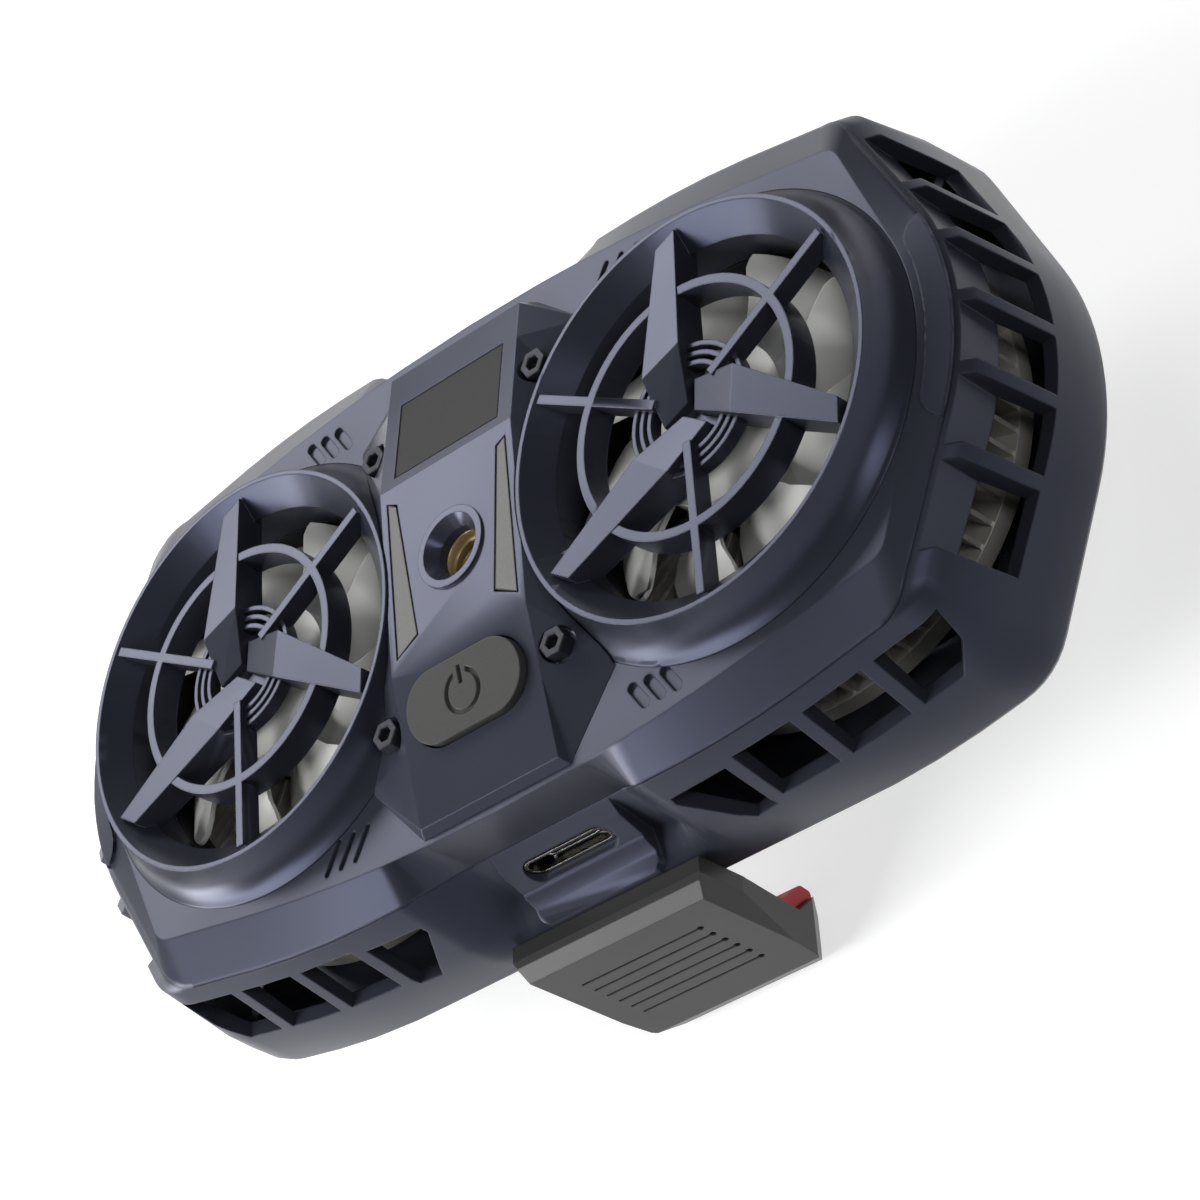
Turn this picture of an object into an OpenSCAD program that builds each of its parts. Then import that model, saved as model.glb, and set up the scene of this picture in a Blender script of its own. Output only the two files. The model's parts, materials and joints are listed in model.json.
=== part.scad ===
// Two-fan thermoelectric phone cooler with a rack-and-pinion phone clamp.
// X runs along the two fans, Y across the phone, Z up through the fans.
// The origin is the middle of the cold plate's face, where the phone lies.

/* [Body outline] */
// Gap between the rims of the two fan guards
rim_gap = 22; // [21:0.5:30]
// Distance from a guard's rim to the rounded end of the housing at its front edge
end_margin = 9.8; // [9:0.2:13]
// Half width of the body at the front edge
half_w = 39.1; // [38.5:0.1:43]
// How far each side draws in at the narrow waist
waist_in = 4.7; // [3.8:0.1:5.4]
// Half length of the narrow waist
waist_l = 12; // [10.5:0.5:14]
// Distance from the middle at which the waist has widened out
neck_l = 20; // [17:0.5:24]
// How far the side walls bulge past the front edge
bulge = 1.9; // [0.5:0.1:3]
// Thickness of the moulded walls
wall_t = 1.8; // [1.4:0.1:2.2]

/* [Levels above the phone] */
// Outer face of the rear cover
rear_z = 1.25; // [0.6:0.05:1.8]
// Thickness of the rear cover
rear_t = 1.8; // [1.2:0.1:2.4]
// Front edge of the housing along the sides
edge_z = 24.4; // [23.4:0.1:25]
// Flat front face of the front cover
face_z = 27.4; // [26.6:0.1:28.4]
// Rim of the fan guards
rim_z = 33; // [32:0.1:35]
// How far the front edge dips at the waist
waist_dip = 5.4; // [3:0.1:6]

/* [Side and end vents] */
// Lower edge of the vents
vent_z = 12.8; // [11.5:0.1:14]
// Upper edge of the side vents
vent_top = 21.6; // [19:0.1:22.4]
// Distance between two side vents
vent_pitch = 10.6; // [10:0.1:11]
// Bar left between two side vents
vent_bar = 1.9; // [1.2:0.1:3]
// Distance between two bars of an end vent
end_pitch = 9.3; // [8:0.1:10]
// Thickness of the bars of an end vent
end_bar = 1.6; // [1:0.1:2.4]

/* [Charging inlet] */
// Height of the middle of the charging inlet
usb_z = 15.1; // [14.6:0.1:15.6]
// Width of the block round the charging inlet
usb_block_w = 19.6; // [18.6:0.2:21]
// How far the mouth of the inlet lies inside the front edge
usb_inset = 1.6; // [1.2:0.1:2]

/* [Fan guards] */
// Radius of the rim
rim_r = 27; // [24:0.1:30]
// Width of the funnel between the rim and the bore that the fan blows through
funnel_w = 4; // [3.4:0.1:5]
// How far the flared foot reaches past the rim
foot_flare = 3.1; // [2.4:0.1:3.3]
// Radius of the middle ring
ring_r = 16.2; // [14:0.1:18]
// Width of the rings and ribs
rib_w = 1.2; // [0.9:0.1:1.8]
// Depth of the wide arms
arm_d = 4.6; // [3.4:0.1:4.8]

/* [Fans] */
// Number of blades on each fan
blade_count = 9; // [7:1:11]
// Gap between the blade tips and the bore
tip_gap = 0.7; // [0.4:0.05:1.2]
// Radius of the fan hub
hub_r = 10.4; // [9.8:0.1:11.5]
// Radius of the fan shaft
shaft_r = 1; // [0.8:0.05:1.3]

/* [Cooling stack] */
// How far the cold plate reaches past the axis of each fan
plate_over = 18; // [17:0.5:20]
// Width of the cold plate
plate_w = 46; // [42:1:50]
// Side of each thermoelectric module
module_w = 30; // [26:1:34]
// Thickness of each thermoelectric module
module_t = 3.6; // [3.2:0.1:4]
// Radius of the heat sinks
sink_r = 31.4; // [29:0.2:32]
// Gap between the flat side of a heat sink and the rack guide
sink_gap = 1.4; // [1.2:0.1:2.5]
// Number of long fins on each heat sink, with a short fin between each two
fin_count = 34; // [24:1:38]
// Thickness of a fin
fin_t = 0.6; // [0.5:0.1:1]

/* [Control panel] */
// Width of the flat facets
panel_w = 22.5; // [21.5:0.1:22.9]
// Length of the power button
button_l = 18.6; // [16:0.1:19]
// Width of the power button
button_w = 9.4; // [8:0.1:10.4]
// Travel of the power button
button_travel = 0.5; // [0.3:0.05:0.6]
// Length of the display window
display_l = 17.6; // [15:0.1:18.4]
// Width of the display window
display_w = 12; // [10:0.1:13]
// Bore of the tripod thread insert
tripod_r = 2.6; // [2.5:0.05:2.7]

/* [Clamp] */
// Width of the jaws
jaw_w = 30.4; // [28:0.2:34]
// Wall of the jaws
jaw_t = 4.8; // [4:0.1:6]
// Inner face of the hooks below the phone face
hook_z = 10; // [9:0.1:14]
// Travel of each jaw
jaw_travel = 12; // [8:0.5:13]
// Module of the rack and pinion teeth
gear_m = 0.8; // [0.7:0.05:0.85]
// Teeth on the pinion
pinion_teeth = 12; // [12:2:12]
// Width of the rack and pinion teeth
gear_w = 2.6; // [2:0.1:2.8]

/* [Fits] */
// Gap round parts that drop into a pocket
seat_gap = 0.15; // [0.1:0.05:0.25]
// Gap round parts that slide
slide_gap = 0.25; // [0.2:0.05:0.35]
// Radial gap of the turning fits
spin_gap = 0.05; // [0.03:0.01:0.08]

/* [Hidden] */
$fn = 96;
eps = 0.01;

fan_x = rim_r + rim_gap / 2;
end_r = rim_r + end_margin;
bore_r = rim_r - funnel_w;
foot_r = rim_r + foot_flare;
plate_l = 2 * (fan_x + plate_over);
guide_half = 13;
sink_flat = fan_x - guide_half - sink_gap;
waist_w = half_w - waist_in;
side_angle = 10.5;
floor_z = rear_z + rear_t;
plate_top = floor_z + 1;
sink_z = plate_top + module_t;
sink_t = 2.5;
fin_top = 19.5;
frame_top = face_z - 2.8;
guard_z = frame_top + 0.2;
board_t = 1.2;

// The body's outline at six levels. Each line is end radius, end angle, where the side starts
// to bend, where it is straight again, half width, half width at the waist, corner length,
// and the heights at the end, the side and the waist.
crease = [end_r - 6.6, 21, 0, fan_x + 8, half_w - 3.9, half_w - 3.9, 2, face_z, face_z, face_z];
parting = [end_r - 2.2, 27, 24, fan_x + 8, half_w, waist_w, 3, edge_z + 1.8, edge_z, edge_z - waist_dip];
edge = [
    end_r, 27, 24, fan_x + 8, half_w + 0.15, waist_w + 0.2, 3,
    edge_z + 0.3, edge_z - 0.4, edge_z - waist_dip - 0.5
];
belly = [
    end_r + bulge - 0.5, 26, 30, fan_x + 12, half_w + bulge, waist_w + 1.4, 4,
    vent_z + 0.2, vent_z + 0.2, 11
];
ledge = [end_r + bulge - 0.3, 25, 33, fan_x + 14, half_w + bulge - 0.1, half_w + 1.3, 5, 8.6, 8.6, 9];
skirt = [end_r + bulge - 0.2, 24, 36, fan_x + 16, half_w + 1.1, half_w + 1.1, 5, 4.6, 4.6, 4.6];
foot = [end_r + bulge - 0.5, 24, 36, fan_x + 16, half_w + 0.8, half_w + 0.8, 5, floor_z, floor_z, floor_z];

function shrunk(p, d, dz) =
    [p[0] - d, p[1], p[2], p[3], p[4] - d, p[5] - d, p[6], p[7] - dz, p[8] - dz, p[9] - dz];
function clamp01(t) = min(1, max(0, t));
function smooth(t) = t * t * (3 - 2 * t);
function mix(a, b, t) = a + (b - a) * t;
function bezier(a, c, b, t) = (1 - t) * (1 - t) * a + 2 * t * (1 - t) * c + t * t * b;

function side_y(p, x) =
    let (bend = (p[3] - p[2]) / tan(side_angle))
    let (run = min(max(x - p[2], 0), p[3] - p[2]))
    p[4] - run * run / (2 * bend) - max(x - p[3], 0) * tan(side_angle);

function neck(x) = smooth(clamp01((x - waist_l) / (neck_l - waist_l)));

function side_point(p, x) =
    [x, side_y(p, x) - (p[4] - p[5]) * (1 - neck(x)), mix(p[9], p[8], neck(x))];

// Where the straight side and the straight end would meet
function corner(p) =
    let (a = p[1], t = tan(side_angle), ex = fan_x + p[0] * cos(a), ey = p[0] * sin(a))
    let (s = (side_y(p, p[3]) - t * (ex - p[3]) - ey) / (cos(a) - t * sin(a)))
    [ex - s * sin(a), ey + s * cos(a)];

function corner_point(p, t) =
    let (c = corner(p), a = p[1], d = p[6])
    let (q = bezier(c - d * [cos(side_angle), -sin(side_angle)], c, c + d * [sin(a), -cos(a)], t))
    [q[0], q[1], mix(p[8], p[7], t * 0.6)];

// A quarter of the outline, from the waist to the tip of the end
function quarter(p) =
    let (stop = corner_point(p, 0)[0])
    concat(
        [side_point(p, 0), side_point(p, waist_l)],
        [for (i = [1:6]) side_point(p, mix(waist_l, neck_l, i / 7))],
        [for (i = [0:5]) side_point(p, mix(neck_l, stop, i / 6))],
        [for (i = [0:6]) corner_point(p, i / 6)],
        [for (i = [0:7]) let (a = p[1] * (1 - i / 7)) [fan_x + p[0] * cos(a), p[0] * sin(a), p[7]]]
    );

function outline(p) =
    let (q = quarter(p), n = len(q) - 1)
    concat(
        [for (i = [n:-1:1]) q[i]],
        [for (i = [0:n - 1]) [-q[i][0], q[i][1], q[i][2]]],
        [for (i = [n:-1:1]) [-q[i][0], -q[i][1], q[i][2]]],
        [for (i = [0:n - 1]) [q[i][0], -q[i][1], q[i][2]]]
    );

// The outline at one level, seen from above
function seen(p) = [for (q = outline(p)) [q[0], q[1]]];

// Skin through a list of rings, capped at the first and last ring or closed into a loop
module skin(rings, closed = false) {
    n = len(rings[0]);
    m = len(rings);
    points = [for (r = rings) each r];
    last = closed ? m - 1 : m - 2;
    sides = [
        for (k = [0:last])
            for (i = [0:n - 1])
                let (a = k * n + i, b = k * n + (i + 1) % n)
                let (c = (k + 1) % m * n + (i + 1) % n, d = (k + 1) % m * n + i)
                each [[a, b, c], [a, c, d]]
    ];
    caps = closed ? [] : [[for (i = [n - 1:-1:0]) i], [for (i = [0:n - 1]) (m - 1) * n + i]];
    polyhedron(points, concat(sides, caps), convexity = 10);
}

module both_ends() {
    children();
    rotate([0, 0, 180]) children();
}

module both_fans() {
    translate([fan_x, 0, 0]) children();
    translate([-fan_x, 0, 0]) children();
}

module four_ways(x, y) {
    for (sx = [-1, 1])
        for (sy = [-1, 1])
            translate([sx * x, sy * y, 0]) children();
}

module rounded_rect(l, w, r) {
    square([l - 2 * r, w], center = true);
    square([l, w - 2 * r], center = true);
    for (sx = [-1, 1])
        for (sy = [-1, 1])
            translate([sx * (l / 2 - r), sy * (w / 2 - r)]) circle(r, $fn = 32);
}

module slot(l, w, h) {
    linear_extrude(h) {
        square([l - w, w], center = true);
        for (s = [-1, 1]) translate([s * (l - w) / 2, 0]) circle(w / 2, $fn = 40);
    }
}

module tube(outer, inner, h) {
    difference() {
        cylinder(r = outer, h = h);
        translate([0, 0, -1]) cylinder(r = inner, h = h + 2);
    }
}

// Fan guards

// Hollow curve of the outside, from the rim down to the foot
function flare(t, gap) = [
    bezier(rim_r + 0.05, rim_r + 0.6, foot_r, t) + gap,
    bezier(rim_z - 0.8, face_z + 1.2, face_z, t) + gap * t
];

guard_profile = concat(
    [[bore_r, guard_z], [bore_r, rim_z - 3], [rim_r - 0.7, rim_z], [rim_r - 0.1, rim_z]],
    [for (i = [0:7]) flare(i / 7, 0)],
    [[rim_r + 1.2, face_z], [rim_r + 1.2, guard_z], [rim_r - 0.4, guard_z], [rim_r - 0.6, face_z + 1.2]],
    [[bore_r + 1.8, face_z + 1], [bore_r + 1.6, guard_z]]
);

arm_top = [[1, 0, -1], [8.6, -0.6, 0.5], [25.4, -0.9, -0.3], [24, 2.2, -0.3], [6.4, 5.4, 0.5], [-0.7, 3.8, -1]];

module arm() {
    n = len(arm_top);
    low = [for (p = arm_top) [p[0], p[1], rim_z + 0.4 - arm_d]];
    high = [for (p = arm_top) [p[0], p[1], rim_z + p[2]]];
    sides = [for (i = [0:n - 1]) let (j = (i + 1) % n) each [[i, j, n + j], [i, n + j, n + i]]];
    top = [[n, n + 1, n + 4, n + 5], [n + 1, n + 2, n + 3, n + 4]];
    scaled = [for (p = concat(low, high)) [p[0] * (rim_r - 1) / 26, p[1], p[2]]];
    // the skin's faces run clockwise seen from outside
    bottom = [[for (i = [n - 1:-1:0]) i]];
    polyhedron(scaled, [for (f = concat(sides, top, bottom)) [for (i = [len(f) - 1:-1:0]) f[i]]]);
}

module guard() {
    rotate_extrude($fn = 144) polygon(guard_profile);
    // middle ring and the three wire rings round the hub
    translate([0, 0, rim_z - 4]) tube(ring_r + rib_w / 2, ring_r - rib_w / 2, 4);
    for (r = [6, 7.2, 8.4]) translate([0, 0, rim_z - 2.6]) tube(r + 0.3, r - 0.3, 1.8);
    translate([0, 0, rim_z - 4.2]) cylinder(r = 4.6, h = 1.8);
    for (a = [30, 150, 270])
        rotate([0, 0, a]) translate([5, -rib_w / 2, rim_z - 2.8]) cube([rim_r - 6.4, rib_w, 2.8]);
    for (a = [90, 210, 330]) {
        rotate([0, 0, a]) arm();
        rotate([0, 0, a]) translate([2.4, 0.6, rim_z + 0.4 - arm_d]) cube([5, 2, arm_d - 1.6]);
    }
}

module guard_cut() {
    // the guard's outside, with the seat gap added, for the parts that it drops through
    rotate_extrude($fn = 144) polygon(concat(
        [[0, guard_z - 5], [rim_r + 1.2 + seat_gap, guard_z - 5]],
        [[rim_r + 1.2 + seat_gap, face_z], [foot_r + seat_gap, face_z]],
        [for (i = [7:-1:0]) flare(i / 7, seat_gap)],
        [[rim_r + seat_gap, rim_z + 4], [0, rim_z + 4]]
    ));
}

module left_guard() {
    color("#3a3c47") translate([-fan_x, 0, 0]) guard();
}

module right_guard() {
    color("#3a3c47") translate([fan_x, 0, 0]) guard();
}

// Front cover, rear housing and rear cover

bolt_y = 20;
// the bolts stand in the nook between the panel and the foot of each guard
bolt_x = fan_x - sqrt(pow(foot_r + 1.2, 2) - bolt_y * bolt_y);
bolt_seat_z = 29.6;
bolt_r = 0.9;
window_x = 11;
window_y = half_w - 8.7;

module side_slots(x, y) {
    // a group of three slanted slots pressed into the front face
    for (i = [-1:1])
        translate([x + i * 2.5, y, face_z - 0.5]) rotate([0, 0, -58]) slot(4.6, 1.4, 2);
}

module side_grooves(x, y) {
    for (i = [-1:1])
        translate([x + i * 2.5, y, face_z - 0.5]) rotate([0, 0, 58]) slot(5, 0.8, 2);
}

nose_in = end_r - 6.6;
nose_out = end_r - 2.2;
pad_in = nose_in + 1.1;
pad_out = nose_out - 0.1;
pad_rise = 0.45;

// Height of the cover's sloping nose at one distance from the fan's axis
function nose_z(r) = mix(face_z, edge_z + 1.8, (r - nose_in) / (nose_out - nose_in));

module nose_pad() {
    // raised strip along the outer edge, its two inner corners rounded off
    width = pad_out - pad_in;
    intersection() {
        rotate_extrude($fn = 144) polygon([
            [pad_in - 1, edge_z + 1.8], [nose_out + 1, edge_z + 1.8],
            [nose_out + 1, nose_z(nose_out + 1) + pad_rise], [pad_in - 1, nose_z(pad_in - 1) + pad_rise]
        ]);
        linear_extrude(face_z + 2) intersection() {
            circle(pad_out, $fn = 144);
            union() {
                difference() {
                    polygon([[0, 0], 50 * [cos(-20), sin(-20)], 50 * [cos(17), sin(17)]]);
                    circle(pad_in, $fn = 144);
                }
                for (a = [-20, 17]) translate(pad_out * [cos(a), sin(a)]) circle(width, $fn = 48);
            }
        }
    }
}

module front_cover() {
    color("#6a6c7a") difference() {
        union() {
            skin([
                outline(crease), outline(parting), outline(shrunk(parting, wall_t, 0)),
                outline(shrunk(crease, wall_t * 0.9, wall_t))
            ]);
            both_ends() translate([fan_x, 0, 0]) nose_pad();
            four_ways(bolt_x, bolt_y) translate([0, 0, frame_top - 1.6])
                cylinder(r = 2.2, h = face_z - wall_t - frame_top + 2);
        }
        both_fans() translate([0, 0, guard_z - 6]) cylinder(r = rim_r + 1.2 + seat_gap, h = 12, $fn = 144);
        translate([-window_x, -window_y, edge_z - 12]) cube([2 * window_x, 2 * window_y, 20]);
        four_ways(bolt_x, bolt_y) translate([0, 0, frame_top - 4]) cylinder(r = bolt_r, h = 10, $fn = 24);
        both_ends() {
            side_slots(fan_x - 12.5, -29.9);
            side_grooves(fan_x - 13, 29.9);
        }
    }
}

end_vent_y = 28.8;

module side_vents() {
    first = fan_x - 2.6;
    half = (vent_pitch - vent_bar) / 2;
    low = vent_z;
    high = vent_top;
    for (i = [0:1])
        translate([first + i * vent_pitch - half, -half_w - 6, low]) cube([2 * half, 12, high - low]);
    // the last vent has its outer lower corner cut off, the first is a wedge
    translate([0, -half_w + 6, 0]) rotate([90, 0, 0]) linear_extrude(12) {
        translate([first + 2 * vent_pitch, 0])
            polygon([[-half, low], [half - 3, low], [half, low + 3.6], [half + 0.6, high], [-half, high]]);
        translate([first - vent_pitch, 0])
            polygon([
                [half, low - 1.4], [half, high - 1], [-half, high - 1.4],
                [-half - 0.2, high - 2.6], [half - 3.4, low - 1.8]
            ]);
    }
}

module end_vents() {
    gap = end_pitch - end_bar;
    difference() {
        for (s = [-1, 1]) {
            for (i = [0:1])
                translate([fan_x + 20, s * (i + 0.5) * end_pitch - gap / 2, vent_z - 0.6]) cube([30, gap, 20]);
            translate([fan_x + 20, s > 0 ? 2 * end_pitch + end_bar / 2 : -end_vent_y, vent_z - 0.6])
                cube([30, end_vent_y - 2 * end_pitch - end_bar / 2, 20]);
        }
        linear_extrude(60) polygon(seen(shrunk(edge, 1.7, 0)));
    }
}

lip_d = 5;

module end_lip() {
    // wall that hangs down behind the knees of the end vents' bars
    intersection() {
        translate([0, 0, edge_z - 0.5 - lip_d]) linear_extrude(lip_d) difference() {
            polygon(seen(shrunk(edge, 1.7, 0)));
            polygon(seen(shrunk(edge, 3.1, 0)));
        }
        translate([fan_x + 15, -end_vent_y - 2, 0]) cube([40, 2 * end_vent_y + 4, 60]);
    }
}

boss_corner = corner(foot) - [4.1, 7.85];
boss_waist = [waist_l + 4, waist_w - 1];
boss_r = 2.5;
screw_r = 0.9;
usb_lip = half_w - usb_inset;
arm_w = 21;
arm_z = plate_top + 0.25;

module screw_boss(p, toward) {
    translate([p[0], p[1], floor_z]) cylinder(r = boss_r, h = 8, $fn = 40);
    // web that joins the boss to the wall
    translate([p[0], p[1], floor_z]) rotate([0, 0, toward]) translate([0, -0.8, 0])
        cube([boss_r + 3.6, 1.6, 6]);
}

module usb_block() {
    // block round the charging inlet: it slopes out below the front edge and ends in a shelf
    intersection() {
        rotate([90, 0, 90]) translate([0, 0, -20]) linear_extrude(40) polygon([
            [-waist_w + 1.6, usb_z - 9.1], [-half_w - 1.7, usb_z - 9.1],
            [-half_w - 1.7, usb_z - 5], [-half_w + 0.5, usb_z - 4.2],
            [-usb_lip - 0.3, usb_z - 2.4], [-usb_lip + 0.2, usb_z - 2], [-usb_lip + 1.5, usb_z + 1.9],
            [-waist_w - 0.1, edge_z - waist_dip - 0.2],
            [-waist_w + 1.6, edge_z - waist_dip - 0.2]
        ]);
        translate([0, -half_w - 1.7 + 10, 0]) linear_extrude(30) rounded_rect(usb_block_w, 20, 1.8);
    }
}

module rear_housing() {
    color("#33353f") difference() {
        union() {
            skin([
                outline(shrunk(parting, 0, 0.05)), outline(edge), outline(belly),
                outline(ledge), outline(skirt), outline(foot),
                outline(shrunk(foot, wall_t, 0)), outline(shrunk(skirt, wall_t, 0)),
                outline(shrunk(ledge, wall_t, 1.6)), outline(shrunk(belly, wall_t, 1.2)),
                outline(shrunk(edge, wall_t + 0.4, 1.6)), outline(shrunk(parting, wall_t, 0.05))
            ], closed = true);
            usb_block();
            both_ends() end_lip();
            for (sx = [-1, 1])
                for (sy = [-1, 1]) {
                    screw_boss([sx * boss_corner[0], sy * boss_corner[1]], sy * (sx > 0 ? 60 : 120));
                    screw_boss([sx * boss_waist[0], sy * boss_waist[1]], sy * (sx > 0 ? 90 : 90));
                }
        }
        for (s = [0, 1]) {
            mirror([s, 0, 0]) side_vents();
            mirror([s, 0, 0]) mirror([0, 1, 0]) side_vents();
        }
        both_ends() end_vents();
        // charging inlet
        translate([0, -waist_w + 8, usb_z]) rotate([90, 0, 0]) slot(14, 3.8, 12);
        // the clamp's arms leave through the lower edge
        for (s = [-1, 1])
            translate([-arm_w / 2 - slide_gap, s > 0 ? 30 : -50, floor_z - 1])
                cube([arm_w + 2 * slide_gap, 20, arm_z + gear_w + slide_gap - floor_z + 1]);
        four_ways(boss_corner[0], boss_corner[1]) translate([0, 0, floor_z - 1])
            cylinder(r = screw_r, h = 8, $fn = 24);
        four_ways(boss_waist[0], boss_waist[1]) translate([0, 0, floor_z - 1])
            cylinder(r = screw_r, h = 8, $fn = 24);
    }
}

module screw_hole() {
    translate([0, 0, rear_z - 1]) cylinder(r = screw_r + 0.2, h = rear_t + 2, $fn = 24);
    translate([0, 0, rear_z - 1]) cylinder(r = 2 + seat_gap, h = 1.8, $fn = 32);
}

module rear_cover() {
    color("#2c2e36") difference() {
        skin([
            outline(shrunk(foot, 0, 0.02)), outline(shrunk(foot, 0.7, rear_t - 0.65)),
            outline(shrunk(foot, 2, rear_t))
        ]);
        translate([0, 0, rear_z - 1]) linear_extrude(rear_t + 2)
            rounded_rect(plate_l + 2 * seat_gap, plate_w + 2 * seat_gap, 6 + seat_gap);
        four_ways(boss_corner[0], boss_corner[1]) screw_hole();
        four_ways(boss_waist[0], boss_waist[1]) screw_hole();
    }
}

module cover_screw() {
    difference() {
        union() {
            translate([0, 0, rear_z]) cylinder(r = 2, h = 0.8, $fn = 32);
            translate([0, 0, rear_z + 0.8]) cylinder(r = screw_r, h = 6.6, $fn = 24);
        }
        for (a = [0, 90]) rotate([0, 0, a]) translate([-1.2, -0.25, rear_z - 0.1]) cube([2.4, 0.5, 0.5]);
    }
}

module cover_screws() {
    color("#20222a") {
        four_ways(boss_corner[0], boss_corner[1]) cover_screw();
        four_ways(boss_waist[0], boss_waist[1]) cover_screw();
    }
}

// Control panel

panel_half = panel_w / 2;
// Profile of the three flat facets: place along Y and height
panel_low = [-half_w + 5.75, face_z + 1.3];
panel_bend = [-half_w + 25.3, rim_z - 0.5];
panel_top = [half_w - 26.65, rim_z + 0.1];
panel_high = [half_w - 7.8, face_z + 2.7];
// Half widths of the foot of the panel beside the guards
panel_foot_low = fan_x - 17.3;
panel_foot_high = fan_x - 18.4;
low_tilt = atan2(panel_bend[1] - panel_low[1], panel_bend[0] - panel_low[0]);
mid_tilt = atan2(panel_top[1] - panel_bend[1], panel_top[0] - panel_bend[0]);
high_tilt = atan2(panel_high[1] - panel_top[1], panel_high[0] - panel_top[0]);

// A cross-section of the panel, given its half widths, place and heights
function panel_ring(y0, x0, z0, y1, x1, z1) = [[x0, y0, z0], [x1, y1, z1], [-x1, y1, z1], [-x0, y0, z0]];

module panel_body(d, base) {
    low_y = (panel_low[0] + panel_bend[0]) / 2;
    low_z = (panel_low[1] + panel_bend[1]) / 2;
    high_y = panel_high[0] - 5.7;
    high_z = panel_top[1] + (high_y - panel_top[0]) * tan(high_tilt);
    skin([
        panel_ring(panel_low[0] - 0.8 + d, 12 - d, base, panel_low[0] + d, panel_half - d, panel_low[1] - d),
        panel_ring(low_y, panel_foot_low - d, base, low_y, panel_half - d, low_z - d),
        panel_ring(panel_bend[0], panel_foot_low - d, base, panel_bend[0], panel_half - d, panel_bend[1] - d),
        panel_ring(panel_top[0], panel_foot_high - d, base, panel_top[0], panel_half - d, panel_top[1] - d),
        panel_ring(high_y, panel_foot_high - d, base, high_y, panel_half - d, high_z - d),
        panel_ring(panel_high[0] + 1 - d, 12 - d, base, panel_high[0] - d, panel_half - d, panel_high[1] - d)
    ]);
}

// Frames of the facets: middle of the button, of the display and of the tripod hole
button_at = [0, panel_bend[0] - 6.7 * cos(low_tilt), panel_bend[1] - 6.7 * sin(low_tilt)];
display_at = [0, panel_top[0] + 7.6 * cos(high_tilt), panel_top[1] + 7.6 * sin(high_tilt)];
tripod_y = -0.5;
tripod_top = panel_bend[1] + (tripod_y - panel_bend[0]) * tan(mid_tilt);

module on_button() {
    translate(button_at) rotate([low_tilt, 0, 0]) children();
}

module on_display() {
    translate(display_at) rotate([high_tilt, 0, 0]) children();
}

// A light bar seen from above, on the +X side
bar_x = panel_half - 1.25;
bar_high = panel_top[0] - 2.05;
bar_low = panel_bend[0] + 2.2;
bar_points = [[bar_x - 1.3, bar_high - 0.8], [bar_x, bar_high], [bar_x, bar_low], [bar_x - 3.4, bar_low + 1.9]];

module light_bar_area(grow) {
    linear_extrude(3) polygon([
        [bar_points[0][0] - grow, bar_points[0][1] + grow], [bar_points[1][0] + grow, bar_points[1][1] + grow],
        [bar_points[2][0] + grow, bar_points[2][1] - grow], [bar_points[3][0] - grow, bar_points[3][1] - grow]
    ]);
}

bar_depth = 1;
pipe_x = bar_x - 2.8;
pipe_y = bar_low + 2.4;
pipe_t = 1;
pipe_l = 5.4;

module light_bar_place() {
    translate([0, 0, tripod_top - bar_depth]) rotate([mid_tilt, 0, 0]) children();
}

board_top = frame_top;
board_w = 20;
board_l = 2 * waist_w - 9.8;
insert_len = 8;
insert_top = rim_z - 2.8;
cone_low = insert_top + 1.3;
insert_r = 4;

module control_panel() {
    skin_t = 1.7;
    color("#70728a") difference() {
        union() {
            difference() {
                panel_body(0, face_z);
                difference() {
                    panel_body(skin_t, face_z - 1);
                    four_ways(bolt_x, bolt_y) translate([0, 0, face_z - 2]) cylinder(r = 2.6, h = 9, $fn = 40);
                }
            }
            // boss of the tripod insert
            translate([0, tripod_y, insert_top - insert_len - 1])
                cylinder(r = insert_r + 1.9, h = tripod_top - insert_top + insert_len);
            // posts that carry the panel board
            four_ways(8.2, board_l / 2 - 2.9) translate([0, 0, board_top])
                cylinder(r = 1.5, h = face_z - board_top + 1.4, $fn = 32);
            // raised lip round the tripod hole
            translate([0, tripod_y, tripod_top - 2]) cylinder(r = 5.4, h = 2.3);
        }
        both_fans() guard_cut();
        four_ways(bolt_x, bolt_y) {
            translate([0, 0, face_z - 3]) cylinder(r = bolt_r, h = 9, $fn = 24);
            translate([0, 0, bolt_seat_z]) cylinder(r = 2.35, h = 5, $fn = 40);
        }
        on_button() translate([0, 0, -4]) slot(button_l + 2 * slide_gap, button_w + 2 * slide_gap, 8);
        on_display() {
            translate([0, 0, -0.7]) linear_extrude(3)
                square([display_l + 2 * seat_gap, display_w + 2 * seat_gap], center = true);
            translate([0, 0, -4]) linear_extrude(6) square([display_l - 2, display_w - 2], center = true);
        }
        for (s = [0, 1])
            mirror([s, 0, 0]) light_bar_place() {
                light_bar_area(seat_gap + 0.08);
                translate([pipe_x, pipe_y, -3]) cube([pipe_t, pipe_l, 5]);
            }
        translate([0, tripod_y, cone_low]) cylinder(r1 = 3.2, r2 = 4.45, h = tripod_top + 0.3 - cone_low + eps);
        translate([0, tripod_y, insert_top - insert_len]) cylinder(r = insert_r, h = insert_len);
        translate([0, tripod_y, insert_top - eps]) cylinder(r = 3.2, h = cone_low - insert_top + 2 * eps);
    }
}

module display_window() {
    color("#565656") on_display() translate([0, 0, -0.65]) linear_extrude(0.6)
        square([display_l, display_w], center = true);
}

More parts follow.
